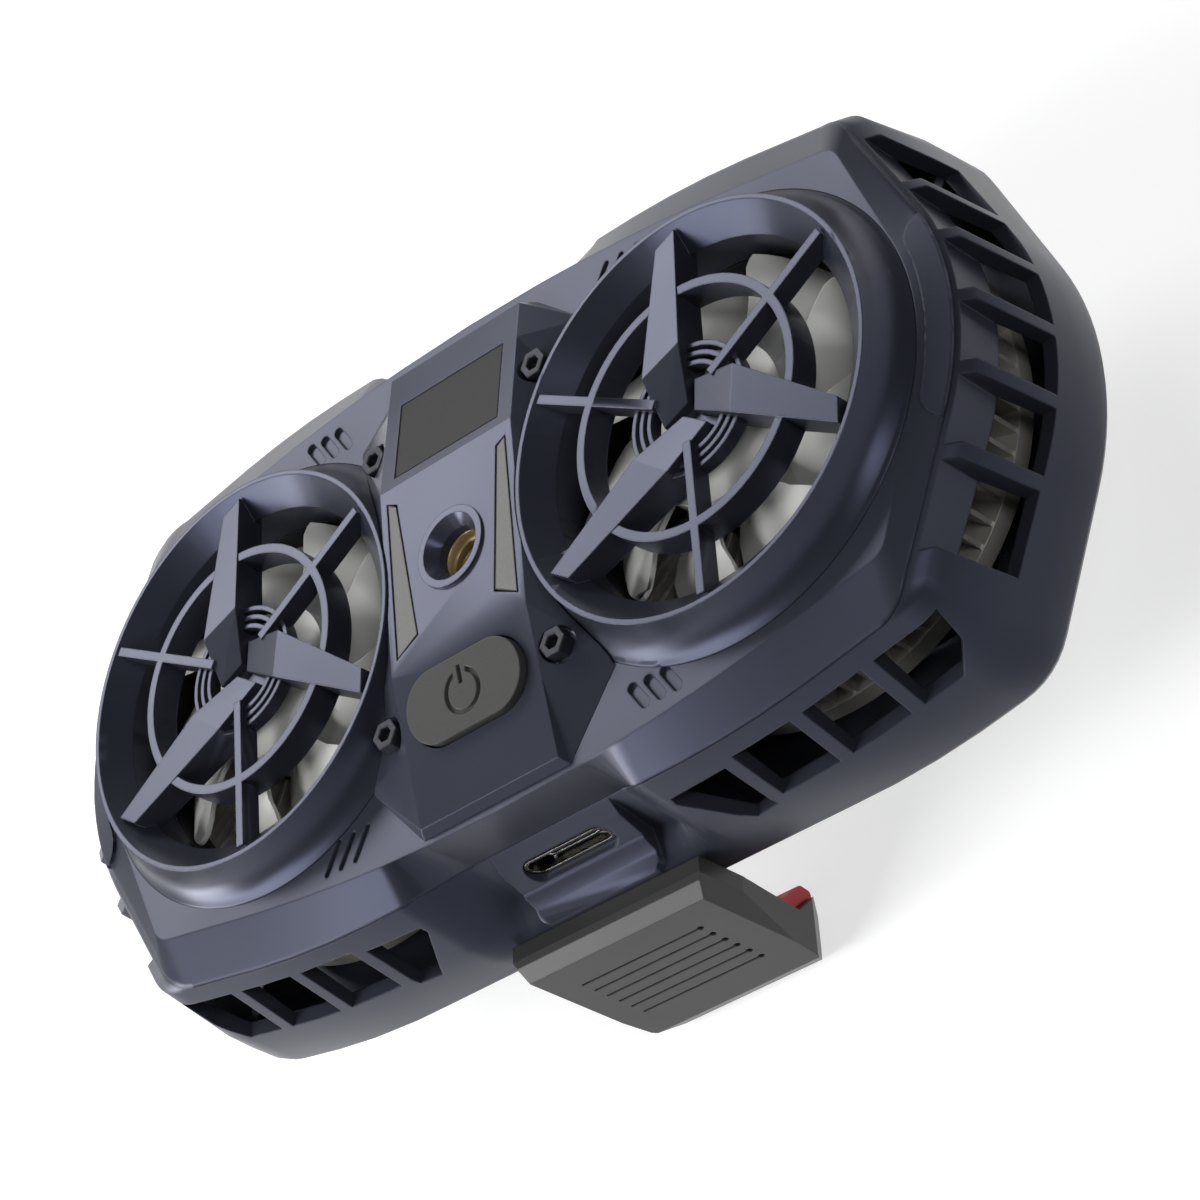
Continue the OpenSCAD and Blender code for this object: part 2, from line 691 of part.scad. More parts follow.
module display_module() {
    color("#1d1d20") {
        on_display() translate([0, 0, -3.2]) linear_extrude(2.3)
            square([display_l - 2.6, display_w - 2.6], center = true);
        // pins to the board
        for (x = [-5, -2.5, 0, 2.5, 5])
            for (y = [-3, 3])
                translate([x, display_at[1] + y, board_top])
                    cylinder(r = 0.3, h = display_at[2] - 2.2 - board_top - (y > 0 ? 1 : 0), $fn = 16);
    }
}

switch_top = board_top + 1.9;
plunger_h = 0.5;
stem_l = (button_at[2] - switch_top - plunger_h) / cos(low_tilt) - button_travel - 0.3;

module power_button() {
    color("#4a4945") on_button() {
        difference() {
            translate([0, 0, -1.8]) slot(button_l, button_w, 2.8);
            // pressed-in power symbol
            translate([0, 0, 0.6]) difference() {
                tube(2.9, 2.3, 1);
                translate([-1, 0, -1]) cube([2, 5, 4]);
            }
            translate([-0.3, 1, 0.6]) cube([0.6, 2.4, 1]);
        }
        translate([0, 0, -2.7]) slot(button_l + 1.2, button_w + 1.2, 0.8);
        translate([0, 0, -2.2]) slot(button_l - 1, button_w - 1, 1);
        // stem over the switch, with room for the travel
        translate([0, 0, -stem_l]) cylinder(r = 1.2, h = stem_l - 2.4, $fn = 40);
    }
}

module tact_switch() {
    color("#c8c8c4") translate([-3, button_at[1] - 3, board_top]) cube([6, 6, switch_top - board_top]);
    color("#2a2a2a") translate([0, button_at[1], switch_top - eps]) cylinder(r = 1.7, h = plunger_h, $fn = 40);
}

module light_bar() {
    light_bar_place() {
        intersection() {
            light_bar_area(0);
            translate([0, -20, 0]) cube([20, 40, bar_depth]);
        }
    }
    // light pipe down to the board
    translate([pipe_x + seat_gap, pipe_y + seat_gap, board_top + 0.2])
        cube([pipe_t - 2 * seat_gap, pipe_l - 2 * seat_gap, tripod_top - bar_depth - board_top - 0.1]);
}

module left_light_bar() {
    color("#c9cac4") mirror([1, 0, 0]) light_bar();
}

module right_light_bar() {
    color("#c9cac4") light_bar();
}

module tripod_insert() {
    color("#8a6230") translate([0, tripod_y, insert_top - insert_len]) tube(insert_r, tripod_r, insert_len);
}

module panel_bolts() {
    color("#26272e") four_ways(bolt_x, bolt_y) {
        translate([0, 0, bolt_seat_z]) difference() {
            cylinder(r = 2.05, h = 1.9, $fn = 6);
            translate([0, 0, 0.7]) cylinder(r = 1, h = 2, $fn = 6);
        }
        translate([0, 0, frame_top - 1.2])
            cylinder(r = bolt_r, h = bolt_seat_z - frame_top + 1.2 + eps, $fn = 24);
    }
}

module panel_board() {
    color("#1f4d33") difference() {
        translate([0, 0, board_top - board_t]) linear_extrude(board_t) rounded_rect(board_w, board_l, 1);
        translate([0, tripod_y, board_top - 2]) cylinder(r = insert_r + 2.1, h = 4);
    }
}

// Fans

blade_low = fin_top + 1.9;
blade_high = rim_z - 6.2;
blade_t = 0.8;
blade_span = 44;
blade_steps = 6;

function blade_point(r, t, up) =
    // broad swept paddle: it leads at the hub, trails towards the tip and is rounded off there
    let (s = clamp01((r - hub_r) / (bore_r - tip_gap - hub_r)))
    let (half = blade_span / 2 * (1 - 0.42 * pow(max(s - 0.55, 0) / 0.45, 3)))
    let (a = mix(-half, half, t) + 17 * s * s)
    let (z = mix(blade_low, blade_high - 0.5 * s, mix(t, smooth(t), 0.4)) + (up ? blade_t / 2 : -blade_t / 2))
    [r * cos(a), r * sin(a), z];

// The blade's section at one radius: along its lower face and back along its upper face
function blade_ring(r) = concat(
    [for (i = [0:blade_steps]) blade_point(r, i / blade_steps, false)],
    [for (i = [blade_steps:-1:0]) blade_point(r, i / blade_steps, true)]
);

// Quads over the end of a thin section, from its lower to its upper face
function end_quads(n, at, turn) = [
    for (i = [0:n / 2 - 2])
        let (a = at + i, b = at + i + 1, c = at + n - 2 - i, d = at + n - 1 - i)
        each turn ? [[a, c, b], [a, d, c]] : [[a, b, c], [a, c, d]]
];

module blade() {
    n = 2 * blade_steps + 2;
    radii = [for (s = [0, 0.25, 0.5, 0.7, 0.86, 0.95, 1]) mix(hub_r - 0.3, bore_r - tip_gap, s)];
    last = len(radii) - 1;
    points = [for (r = radii) each blade_ring(r)];
    sides = [
        for (k = [0:last - 1])
            for (i = [0:n - 1])
                let (a = k * n + i, b = k * n + (i + 1) % n, c = (k + 1) * n + (i + 1) % n, d = (k + 1) * n + i)
                each [[a, c, b], [a, d, c]]
    ];
    polyhedron(points, concat(sides, end_quads(n, 0, false), end_quads(n, last * n, true)));
}

hub_top = rim_z - 5.2;
hub_low = fin_top + 1.4;

module rotor() {
    difference() {
        union() {
            translate([0, 0, hub_low]) cylinder(r = hub_r, h = hub_top - hub_low);
            for (i = [0:blade_count - 1]) rotate([0, 0, i * 360 / blade_count]) blade();
        }
        difference() {
            translate([0, 0, hub_low - 1]) cylinder(r = hub_r - 1, h = hub_top - hub_low - 0.6);
            translate([0, 0, hub_top - 2.4]) cylinder(r = 2.6, h = 2);
        }
        translate([0, 0, hub_low]) cylinder(r = shaft_r, h = hub_top - hub_low - 1, $fn = 48);
    }
}

bearing_r = shaft_r + 1.4;
bearing_top = hub_top - 2.7;

module shaft() {
    translate([0, 0, fin_top + 1]) cylinder(r = shaft_r, h = hub_top - 1 - fin_top - 1, $fn = 48);
}

module bearing() {
    translate([0, 0, fin_top + 0.9]) tube(bearing_r, shaft_r + spin_gap, bearing_top - fin_top - 0.9);
}

tube_r = bearing_r + 1;

module stator() {
    difference() {
        union() {
            translate([0, 0, fin_top + 2.4]) cylinder(r = 5, h = 2.4);
            for (a = [0, 90, 180, 270]) rotate([0, 0, a]) {
                translate([0, -1.1, fin_top + 2.4]) cube([hub_r - 2.2, 2.2, 2.4]);
                translate([5.2, -2, fin_top + 1.8]) cube([1.8, 4, 3.6]);
                intersection() {
                    translate([0, 0, fin_top + 2.4]) tube(hub_r - 1.6, hub_r - 2.6, 2.4);
                    translate([4, -3.4, fin_top]) cube([10, 6.8, 8]);
                }
            }
        }
        translate([0, 0, fin_top]) cylinder(r = tube_r, h = 10);
    }
}

module fan_frame() {
    translate([0, 0, fin_top]) tube(bore_r + 1.6, bore_r, frame_top - fin_top);
    difference() {
        union() {
            translate([0, 0, fin_top]) cylinder(r = hub_r, h = 0.9);
            translate([0, 0, fin_top]) cylinder(r = tube_r, h = bearing_top - fin_top);
            // flange that the stator sits on
            translate([0, 0, fin_top]) cylinder(r = 4.6, h = 2.4);
        }
        translate([0, 0, fin_top + 0.9]) cylinder(r = bearing_r, h = 20);
    }
    for (a = [20, 140, 260]) rotate([0, 0, a])
        translate([hub_r - 1, -1, fin_top]) cube([bore_r - hub_r + 1.6, 2, 0.9]);
}

module left_rotor() {
    color("#b4b6b8") translate([-fan_x, 0, 0]) rotor();
}

module right_rotor() {
    color("#b4b6b8") translate([fan_x, 0, 0]) rotor();
}

module left_shaft() {
    color("#c4c6c8") translate([-fan_x, 0, 0]) shaft();
}

module right_shaft() {
    color("#c4c6c8") translate([fan_x, 0, 0]) shaft();
}

module left_bearing() {
    color("#a8834a") translate([-fan_x, 0, 0]) bearing();
}

module right_bearing() {
    color("#a8834a") translate([fan_x, 0, 0]) bearing();
}

module left_stator() {
    color("#b06a35") translate([-fan_x, 0, 0]) stator();
}

module right_stator() {
    color("#b06a35") translate([fan_x, 0, 0]) stator();
}

module left_fan_frame() {
    color("#1c1c20") translate([-fan_x, 0, 0]) fan_frame();
}

module right_fan_frame() {
    color("#1c1c20") translate([fan_x, 0, 0]) fan_frame();
}

// Cooling stack

sink_screw_at = [15.6, 15.6];

module fin(from, to) {
    // the outer end of a fin is cut back at an angle
    rotate([90, 0, 0]) translate([0, 0, -fin_t / 2]) linear_extrude(fin_t) polygon([
        [from, sink_z + sink_t - eps], [to, sink_z + sink_t - eps],
        [to, fin_top - 3.4], [to - 2, fin_top], [from, fin_top]
    ]);
}

module heat_sink() {
    pitch = 360 / fin_count;
    difference() {
        union() {
            translate([0, 0, sink_z]) cylinder(r = sink_r, h = sink_t);
            translate([0, 0, sink_z + sink_t - eps]) cylinder(r = 8, h = 5);
            for (i = [0:fin_count - 1]) {
                rotate([0, 0, (i + 0.5) * pitch]) fin(7, sink_r - 0.3);
                rotate([0, 0, i * pitch]) fin(0.58 * sink_r, sink_r - 0.3);
            }
        }
        four_ways(sink_screw_at[0], sink_screw_at[1]) {
            translate([0, 0, sink_z - 1]) cylinder(r = 1.2, h = 9, $fn = 32);
            translate([0, 0, sink_z + sink_t]) cylinder(r = 2.6, h = 12, $fn = 32);
        }
        // flat side towards the clamp's mechanism
        translate([-sink_flat - 20, -50, sink_z - 1]) cube([20, 100, 30]);
    }
}

module left_heat_sink() {
    color("#8d8f92") translate([-fan_x, 0, 0]) rotate([0, 0, 180]) heat_sink();
}

module right_heat_sink() {
    color("#8d8f92") translate([fan_x, 0, 0]) heat_sink();
}

module cooling_module() {
    difference() {
        translate([0, 0, plate_top]) linear_extrude(module_t) square(module_w, center = true);
        // the open rim between the two ceramic plates
        translate([0, 0, plate_top + 0.8]) linear_extrude(module_t - 1.6) difference() {
            square(module_w + 2, center = true);
            square(module_w - 2, center = true);
        }
        four_ways(sink_screw_at[0], sink_screw_at[1]) translate([0, 0, plate_top - 1])
            cylinder(r = 1.6, h = 8, $fn = 32);
    }
}

module left_cooling_module() {
    color("#e8e6e0") translate([-fan_x, 0, 0]) cooling_module();
}

module right_cooling_module() {
    color("#e8e6e0") translate([fan_x, 0, 0]) cooling_module();
}

module sink_screw() {
    translate([0, 0, plate_top - 2.4]) cylinder(r = 1, h = sink_z + sink_t - plate_top + 2.4 + eps, $fn = 32);
    translate([0, 0, sink_z + sink_t]) difference() {
        cylinder(r = 2, h = 1.4, $fn = 32);
        for (a = [0, 90]) rotate([0, 0, a]) translate([-1.3, -0.25, 0.8]) cube([2.6, 0.5, 1]);
    }
}

module sink_screws() {
    color("#b9bbbd") both_fans() four_ways(sink_screw_at[0], sink_screw_at[1]) sink_screw();
}

module cold_plate() {
    color("#c9cbce") difference() {
        union() {
            linear_extrude(floor_z + 0.5) rounded_rect(plate_l, plate_w, 6);
            // flange that rests on the inside of the rear cover
            translate([0, 0, floor_z]) linear_extrude(plate_top - floor_z)
                rounded_rect(plate_l + 6, plate_w + 6, 8);
        }
        both_fans() four_ways(sink_screw_at[0], sink_screw_at[1]) translate([0, 0, plate_top - 2.6])
            cylinder(r = 1, h = 8, $fn = 32);
    }
}

// Boards inside the waist

main_z = usb_z - 1.63 - board_t;

module main_board() {
    color("#1f4d33") translate([0, -2, main_z]) linear_extrude(board_t) rounded_rect(board_w, board_l, 1);
    color("#24242a") {
        translate([-5, 4, main_z + board_t - eps]) cube([9, 9, 1.6]);
        translate([-4, -18, main_z + board_t - eps]) cube([7, 7, 3]);
    }
    color("#8f8f94") translate([3, 20, main_z + board_t - eps]) cylinder(r = 3, h = 5.2, $fn = 40);
}

module usb_socket() {
    // charging receptacle, 8.94 by 3.26 mm outside
    color("#b8babd") translate([0, -waist_w + 0.6, usb_z]) rotate([90, 0, 0]) difference() {
        translate([0, 0, -6.6]) slot(8.94, 3.26, 7.3);
        translate([0, 0, -5]) slot(8.34, 2.56, 8);
    }
    color("#1b1b1e") translate([-3.4, -waist_w - 0.1, usb_z - 0.35]) cube([6.8, 5.9, 0.7]);
}

module usb_liner() {
    // metal liner in the mouth of the inlet, in front of the receptacle
    color("#a58a5c") translate([0, -waist_w - 0.2, usb_z]) rotate([90, 0, 0]) difference() {
        slot(14 - 2 * seat_gap, 3.8 - 2 * seat_gap, usb_lip - waist_w - 1.6);
        translate([0, 0, -1]) slot(12.6, 2.7, 6);
    }
}

// Clamp

jaw_in = half_w + 2.1;
jaw_out = jaw_in + jaw_t;
pad_t = 2;
rack_x = gear_m * pinion_teeth / 2;
rack_end = jaw_travel + 9;
yoke_y = jaw_in - 12.2;

module jaw_profile() {
    polygon([
        [jaw_in, 9.7], [jaw_in + 2, 9.7], [jaw_out - 0.7, 9.2], [jaw_out, 7.2], [jaw_out, -hook_z - 3.8],
        [jaw_out - 1.6, -hook_z - 7], [jaw_out - 3.4, -hook_z - 7.5], [jaw_in - 3, -hook_z - 7.5],
        [jaw_in - 4, -hook_z - 4.6], [jaw_in, -hook_z]
    ]);
}

module jaw_front_shape() {
    // seen from outside: straight sides, rounded lower corners
    half = jaw_w / 2;
    low = -hook_z - 7.5;
    polygon([
        [-half, 9.7], [-half, 2], [-half + 1.6, low + 4.4], [-half + 4.4, low],
        [half - 4.4, low], [half - 1.6, low + 4.4],
        [half, 2], [half, 9.7]
    ]);
}

groove_pitch = 2.2;

module jaw() {
    difference() {
        intersection() {
            translate([-jaw_w, 0, 0]) rotate([90, 0, 90]) linear_extrude(2 * jaw_w) jaw_profile();
            translate([0, jaw_out + 1, 0]) rotate([90, 0, 0]) linear_extrude(jaw_t + 8) jaw_front_shape();
            // side facets slope in towards the outer face
            linear_extrude(60, center = true) polygon([
                [-jaw_w / 2, 0], [-jaw_w / 2, jaw_out - 2.6], [-jaw_w / 2 + 1.1, jaw_out],
                [jaw_w / 2 - 1.1, jaw_out],
                [jaw_w / 2, jaw_out - 2.6], [jaw_w / 2, 0]
            ]);
        }
        // six finger grooves, each ending in a small hole
        for (i = [0:5])
            translate([-10.2, jaw_out - 0.4, 3 - i * groove_pitch]) {
                translate([0, 0, -0.2]) cube([19.2, 1, 0.4]);
                translate([19.2, 0.5, 0]) rotate([90, 0, 0]) translate([0, 0, -1])
                    cylinder(r = 0.45, h = 2, $fn = 24);
            }
        // pocket for the end of the rack
        translate([-arm_w / 2 - seat_gap, jaw_in - 1, arm_z - seat_gap])
            cube([arm_w + 2 * seat_gap, 3.4, gear_w + 2 * seat_gap]);
    }
}

module pad() {
    half = jaw_w / 2 - 3.4;
    translate([-half, 0, 0]) rotate([90, 0, 90]) linear_extrude(2 * half) polygon([
        [jaw_in, -hook_z + 5.4], [jaw_in, -hook_z], [jaw_in - 4, -hook_z - 4.6], [jaw_in - 3.64, -hook_z - 5.7],
        [jaw_in - 5.4, -hook_z - 5.4], [jaw_in - 5.7, -hook_z - 3.5],
        [jaw_in - pad_t, -hook_z + 0.8], [jaw_in - pad_t, -hook_z + 4.6]
    ]);
}

gear_angle = 25;
tooth_pitch = PI * gear_m;
backlash = 0.08;
rack_back = rack_x + gear_m * 1.25 + 2.4;

first_tooth = -round((jaw_travel + 7) / tooth_pitch);
gear_root = gear_m * 1.25;
gear_tip = gear_m * 0.9;
peg_y = 8;

// One tooth of the rack, pointing to -X, about the height y
function rack_tooth(y) =
    let (half = tooth_pitch / 4 - backlash, rise = tan(gear_angle))
    [
        [rack_x + gear_root, y - half - gear_root * rise], [rack_x - gear_tip, y - half + gear_tip * rise],
        [rack_x - gear_tip, y + half - gear_tip * rise], [rack_x + gear_root, y + half + gear_root * rise]
    ];

// The rack of the jaw on the +Y side. It lies on the +X side of the pinion.
module rack() {
    translate([0, 0, arm_z]) linear_extrude(gear_w) polygon(concat(
        [[rack_x + gear_root, -rack_end]],
        [for (i = [first_tooth:2]) each rack_tooth((i + 0.5) * tooth_pitch)],
        // yoke that spreads to the full width of the jaw
        [[rack_x + gear_root, yoke_y], [-arm_w / 2, yoke_y + 5.6], [-arm_w / 2, jaw_in + 2.2]],
        [[arm_w / 2, jaw_in + 2.2], [arm_w / 2, yoke_y + 4], [rack_back, yoke_y + 1]],
        // peg that the spring hooks on
        [[rack_back, peg_y + 0.8], [rack_back + 1.5, peg_y + 0.8], [rack_back + 1.5, peg_y - 0.8]],
        [[rack_back, peg_y - 0.8], [rack_back, -rack_end]]
    ));
}

function involute(rb, r) = let (t = sqrt(max(r * r / (rb * rb) - 1, 0))) t * 180 / PI - atan(t);

module pinion() {
    rb = rack_x * cos(gear_angle);
    tip = rack_x + gear_m * 0.9;
    root = rack_x - gear_m * 1.15;
    half = 90 / pinion_teeth - backlash / rack_x * 180 / PI + involute(rb, rack_x);
    flank = [for (i = [0:4]) mix(rb, tip, i / 4)];
    color("#d8d4c4") translate([0, 0, arm_z]) linear_extrude(gear_w) difference() {
        union() {
            circle(root, $fn = 64);
            for (i = [0:pinion_teeth - 1])
                rotate(i * 360 / pinion_teeth) polygon(concat(
                    [[root - 0.4, -rb * sin(half)]],
                    [for (r = flank) let (a = half - involute(rb, r)) [r * cos(a), -r * sin(a)]],
                    [for (k = [4:-1:0]) let (r = flank[k], a = half - involute(rb, r)) [r * cos(a), r * sin(a)]],
                    [[root - 0.4, rb * sin(half)]]
                ));
        }
        circle(1.5 + spin_gap, $fn = 64);
    }
}

guide_z = arm_z + gear_w + 0.2;
guide_t = 1.8;
guide_l = 2 * waist_w - 6.8;
spring_x = rack_back + 1.5;
spring_post_y = -jaw_travel - 8.5;
spring_z = arm_z + gear_w / 2;

module pinion_post() {
    color("#9a9ca0") translate([0, 0, plate_top + 0.1])
        cylinder(r = 1.5, h = guide_z + guide_t - plate_top - 0.1, $fn = 48);
}

module rack_guide() {
    color("#25262c") difference() {
        union() {
            translate([-guide_half, -guide_l / 2, guide_z]) cube([2 * guide_half, guide_l, guide_t]);
            // rails that keep the racks straight
            for (s = [-1, 1])
                translate([s > 0 ? guide_half - 1.2 : -guide_half, 6 - guide_l / 2, plate_top + 0.05])
                cube([1.2, guide_l - 12, guide_z - plate_top]);
            // feet on the rear cover
            for (s = [-1, 1])
                for (y = [-guide_l / 2, guide_l / 2 - 3.5])
                    translate([s > 0 ? guide_half - 1.2 : -guide_half, y, floor_z])
                        cube([1.2, 3.5, guide_z - floor_z + 0.1]);
            // posts that carry the main board
            four_ways(8, board_l / 2 - 5.5) translate([0, 0, guide_z + guide_t - 0.1])
                cylinder(r = 1.8, h = main_z - guide_z - guide_t + 0.1, $fn = 32);
            // posts that hold the fixed ends of the springs
            for (s = [-1, 1]) translate([s * spring_x, s * spring_post_y, plate_top + 0.2])
                cylinder(r = 0.8, h = guide_z - plate_top, $fn = 32);
        }
        translate([0, 0, guide_z - 1]) cylinder(r = 1.5, h = guide_t + 2, $fn = 48);
        // finger of room over the middle of the pinion
        translate([0, 0, guide_z - 1]) tube(5, 3.4, 1.4);
    }
}

// Tension spring between a fixed post and the rack's peg
coil_r = 0.75;
wire_r = 0.17;
coils = 12;

module spring() {
    start = spring_post_y + 1;
    finish = peg_y - 1;
    rings = coils * 8;
    sides = 5;
    skin([for (i = [0:rings])
        let (a = i * 45, y = mix(start, finish, i / rings))
        let (c = [spring_x + coil_r * cos(a), y, spring_z + coil_r * sin(a)])
        [for (k = [0:sides - 1])
            let (b = -k * 360 / sides)
            c + wire_r * cos(b) * [cos(a), 0, sin(a)] + wire_r * sin(b) * [0, 1, 0]]
    ]);
    // straight hooks at both ends
    translate([spring_x + coil_r, spring_post_y + 0.62, spring_z]) rotate([-90, 0, 0])
        cylinder(r = wire_r, h = 0.6, $fn = 16);
    translate([spring_x + coil_r, peg_y - 1.2, spring_z]) rotate([-90, 0, 0])
        cylinder(r = wire_r, h = 0.35, $fn = 16);
}

module upper_jaw() {
    color("#555555") jaw();
}

module lower_jaw() {
    color("#555555") mirror([0, 1, 0]) jaw();
}

module upper_pad() {
    color("#b9505a") pad();
}

module lower_pad() {
    color("#b9505a") mirror([0, 1, 0]) pad();
}

module upper_rack() {
    color("#3b3d44") rack();
}

module lower_rack() {
    color("#3b3d44") rotate([0, 0, 180]) rack();
}

module upper_spring() {
    color("#c0c2c5") spring();
}

module lower_spring() {
    color("#c0c2c5") rotate([0, 0, 180]) spring();
}

front_cover();
rear_housing();
rear_cover();
left_guard();
right_guard();
control_panel();
display_window();
display_module();
power_button();
tact_switch();
left_light_bar();
right_light_bar();
tripod_insert();
panel_bolts();
panel_board();
left_rotor();
right_rotor();
left_shaft();
right_shaft();
left_bearing();
right_bearing();
left_stator();
right_stator();
left_fan_frame();
right_fan_frame();
left_heat_sink();
right_heat_sink();
left_cooling_module();
right_cooling_module();
sink_screws();
cold_plate();
main_board();
usb_socket();
usb_liner();
lower_jaw();
upper_jaw();
lower_pad();
upper_pad();
lower_rack();
upper_rack();
pinion();
pinion_post();
rack_guide();
lower_spring();
upper_spring();
cover_screws();
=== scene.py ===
# %% [markdown]
# Phone cooler with two fans: dressing the solid parts
#
# The solid parts of the cooler come ready made, each at its place: covers, guards, fans, fins, clamp.
# What they lack is what the eye reads as real: edges that catch light, a moulded grain, brass and metal.
# This lesson adds that, one cell at a time, and ends with the light and the camera of the product photo.

# %% Load the fixed parts
import json
import math
import bpy
from collections import namedtuple
from mathutils.bvhtree import BVHTree
from mathutils.interpolate import poly_3d_calc
from mathutils import Matrix, Vector

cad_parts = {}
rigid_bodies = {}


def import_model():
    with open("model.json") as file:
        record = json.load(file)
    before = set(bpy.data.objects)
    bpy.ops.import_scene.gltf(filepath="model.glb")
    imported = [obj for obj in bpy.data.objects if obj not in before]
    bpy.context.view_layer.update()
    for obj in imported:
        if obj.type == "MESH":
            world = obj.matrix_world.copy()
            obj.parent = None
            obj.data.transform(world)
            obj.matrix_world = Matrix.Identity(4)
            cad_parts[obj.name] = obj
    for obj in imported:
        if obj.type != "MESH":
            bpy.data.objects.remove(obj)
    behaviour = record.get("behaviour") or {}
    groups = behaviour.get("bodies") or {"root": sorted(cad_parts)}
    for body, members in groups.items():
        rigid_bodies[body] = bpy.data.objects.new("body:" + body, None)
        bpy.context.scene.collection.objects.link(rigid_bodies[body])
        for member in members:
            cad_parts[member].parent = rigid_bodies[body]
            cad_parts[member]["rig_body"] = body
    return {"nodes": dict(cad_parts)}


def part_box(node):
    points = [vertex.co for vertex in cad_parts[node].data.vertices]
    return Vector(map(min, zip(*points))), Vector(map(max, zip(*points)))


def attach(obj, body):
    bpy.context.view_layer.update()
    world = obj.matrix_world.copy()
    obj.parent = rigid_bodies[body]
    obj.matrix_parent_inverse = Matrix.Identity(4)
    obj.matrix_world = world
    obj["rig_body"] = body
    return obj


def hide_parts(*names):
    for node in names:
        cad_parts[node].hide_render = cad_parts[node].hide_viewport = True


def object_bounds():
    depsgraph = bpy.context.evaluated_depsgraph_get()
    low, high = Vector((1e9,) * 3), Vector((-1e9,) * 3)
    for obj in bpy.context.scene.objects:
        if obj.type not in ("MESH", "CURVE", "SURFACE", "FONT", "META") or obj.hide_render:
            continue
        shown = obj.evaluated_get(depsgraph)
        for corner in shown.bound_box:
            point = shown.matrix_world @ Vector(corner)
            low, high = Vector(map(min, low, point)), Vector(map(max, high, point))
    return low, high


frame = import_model()
cad_low, cad_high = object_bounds()
MM = 0.001
print("parts", len(frame["nodes"]), "size in mm", [round(v / MM, 1) for v in cad_high - cad_low])

# %% [markdown]
# A colour is picked as an sRGB hex value, but a shader works with linear light, so one function does that
# change. Nodes could be added and joined line by line, which takes three lines for each. One more function
# does all of it: it adds a node, sets its sockets and joins what feeds them.

# %% Colour and node helpers


def srgb(code, alpha=1.0):
    channels = [int(code[i:i + 2], 16) / 255 for i in (1, 3, 5)]
    return tuple(c / 12.92 if c <= 0.04045 else ((c + 0.055) / 1.055) ** 2.4 for c in channels) + (alpha,)


def add(tree, kind, sockets=None, **settings):
    node = tree.nodes.new(kind)
    for name, value in settings.items():
        setattr(node, name, value)
    for name, value in (sockets or {}).items():
        if isinstance(value, bpy.types.NodeSocket):
            tree.links.new(value, node.inputs[name])
        else:
            node.inputs[name].default_value = value
    return node


def new_material(name):
    material = bpy.data.materials.new(name)
    material.use_nodes = True
    material.node_tree.nodes.clear()
    return material, material.node_tree


def finish_material(tree, shader):
    add(tree, "ShaderNodeOutputMaterial", {"Surface": shader.outputs[0]})


print("a middle grey in linear light", [round(c, 3) for c in srgb("#808080")])

# %% [markdown]
# The body is injection-moulded ABS with a spark-eroded mould texture. Such a grain could be cut into the
# mesh, but it is far too fine for that, so a Bump node tilts the shading instead. It is about 0.1 mm wide
# on the real part and drawn at 0.25 mm so that it shows, and so shallow that it only breaks up highlights.
# Handling polishes the grain a little, so the roughness and the tone drift over patches of some 15 mm. A
# noise lies mostly between 0.3 and 0.7, and a Map Range node stretches that span to the one it needs. A
# Bevel node rounds the shading of each edge, as a moulded edge is never sharp.

# %% Moulded plastic
patch_mm = 15
grain_step_mm = 0.05


def moulded_plastic(
        name, code, roughness, edge_mm, grain_mm=0.25, depth=0.05, specular=0.3, sheen="#ffffff"):
    material, tree = new_material(name)
    place = add(tree, "ShaderNodeTexCoord").outputs["Object"]
    grain = add(tree, "ShaderNodeTexNoise", {"Vector": place, "Scale": 1 / (grain_mm * MM), "Detail": 2.0})
    patches = add(tree, "ShaderNodeTexNoise", {
        "Vector": place, "Scale": 1 / (patch_mm * MM), "Detail": 1.0})
    shine = add(tree, "ShaderNodeMapRange", {
        "Value": patches.outputs["Fac"], "From Min": 0.3, "From Max": 0.7,
        "To Min": roughness - 0.015, "To Max": roughness + 0.02})
    tone = add(tree, "ShaderNodeMapRange", {
        "Value": patches.outputs["Fac"], "From Min": 0.2, "From Max": 0.8, "To Min": 0.98, "To Max": 1.02})
    shade = add(tree, "ShaderNodeHueSaturation", {"Value": tone.outputs[0], "Color": srgb(code)})
    edge = add(tree, "ShaderNodeBevel", {"Radius": edge_mm * MM}, samples=4)
    bump = add(tree, "ShaderNodeBump", {
        "Height": grain.outputs["Fac"], "Strength": depth, "Distance": grain_step_mm * MM,
        "Normal": edge.outputs[0]})
    shader = add(tree, "ShaderNodeBsdfPrincipled", {
        "Base Color": shade.outputs[0], "Roughness": shine.outputs[0], "Normal": bump.outputs[0],
        "Specular IOR Level": specular, "Specular Tint": srgb(sheen), "IOR": 1.5})
    finish_material(tree, shader)
    return material


# %% [markdown]
# The body is dark blue-grey ABS whose highlights look bluer than the lamps, as they do on plastic with a
# pearly filler. Bluer lamps would tint the clamp and the blades too, so the sheen is set in the plastic.
# All other plastics reflect the lamps in their own white.

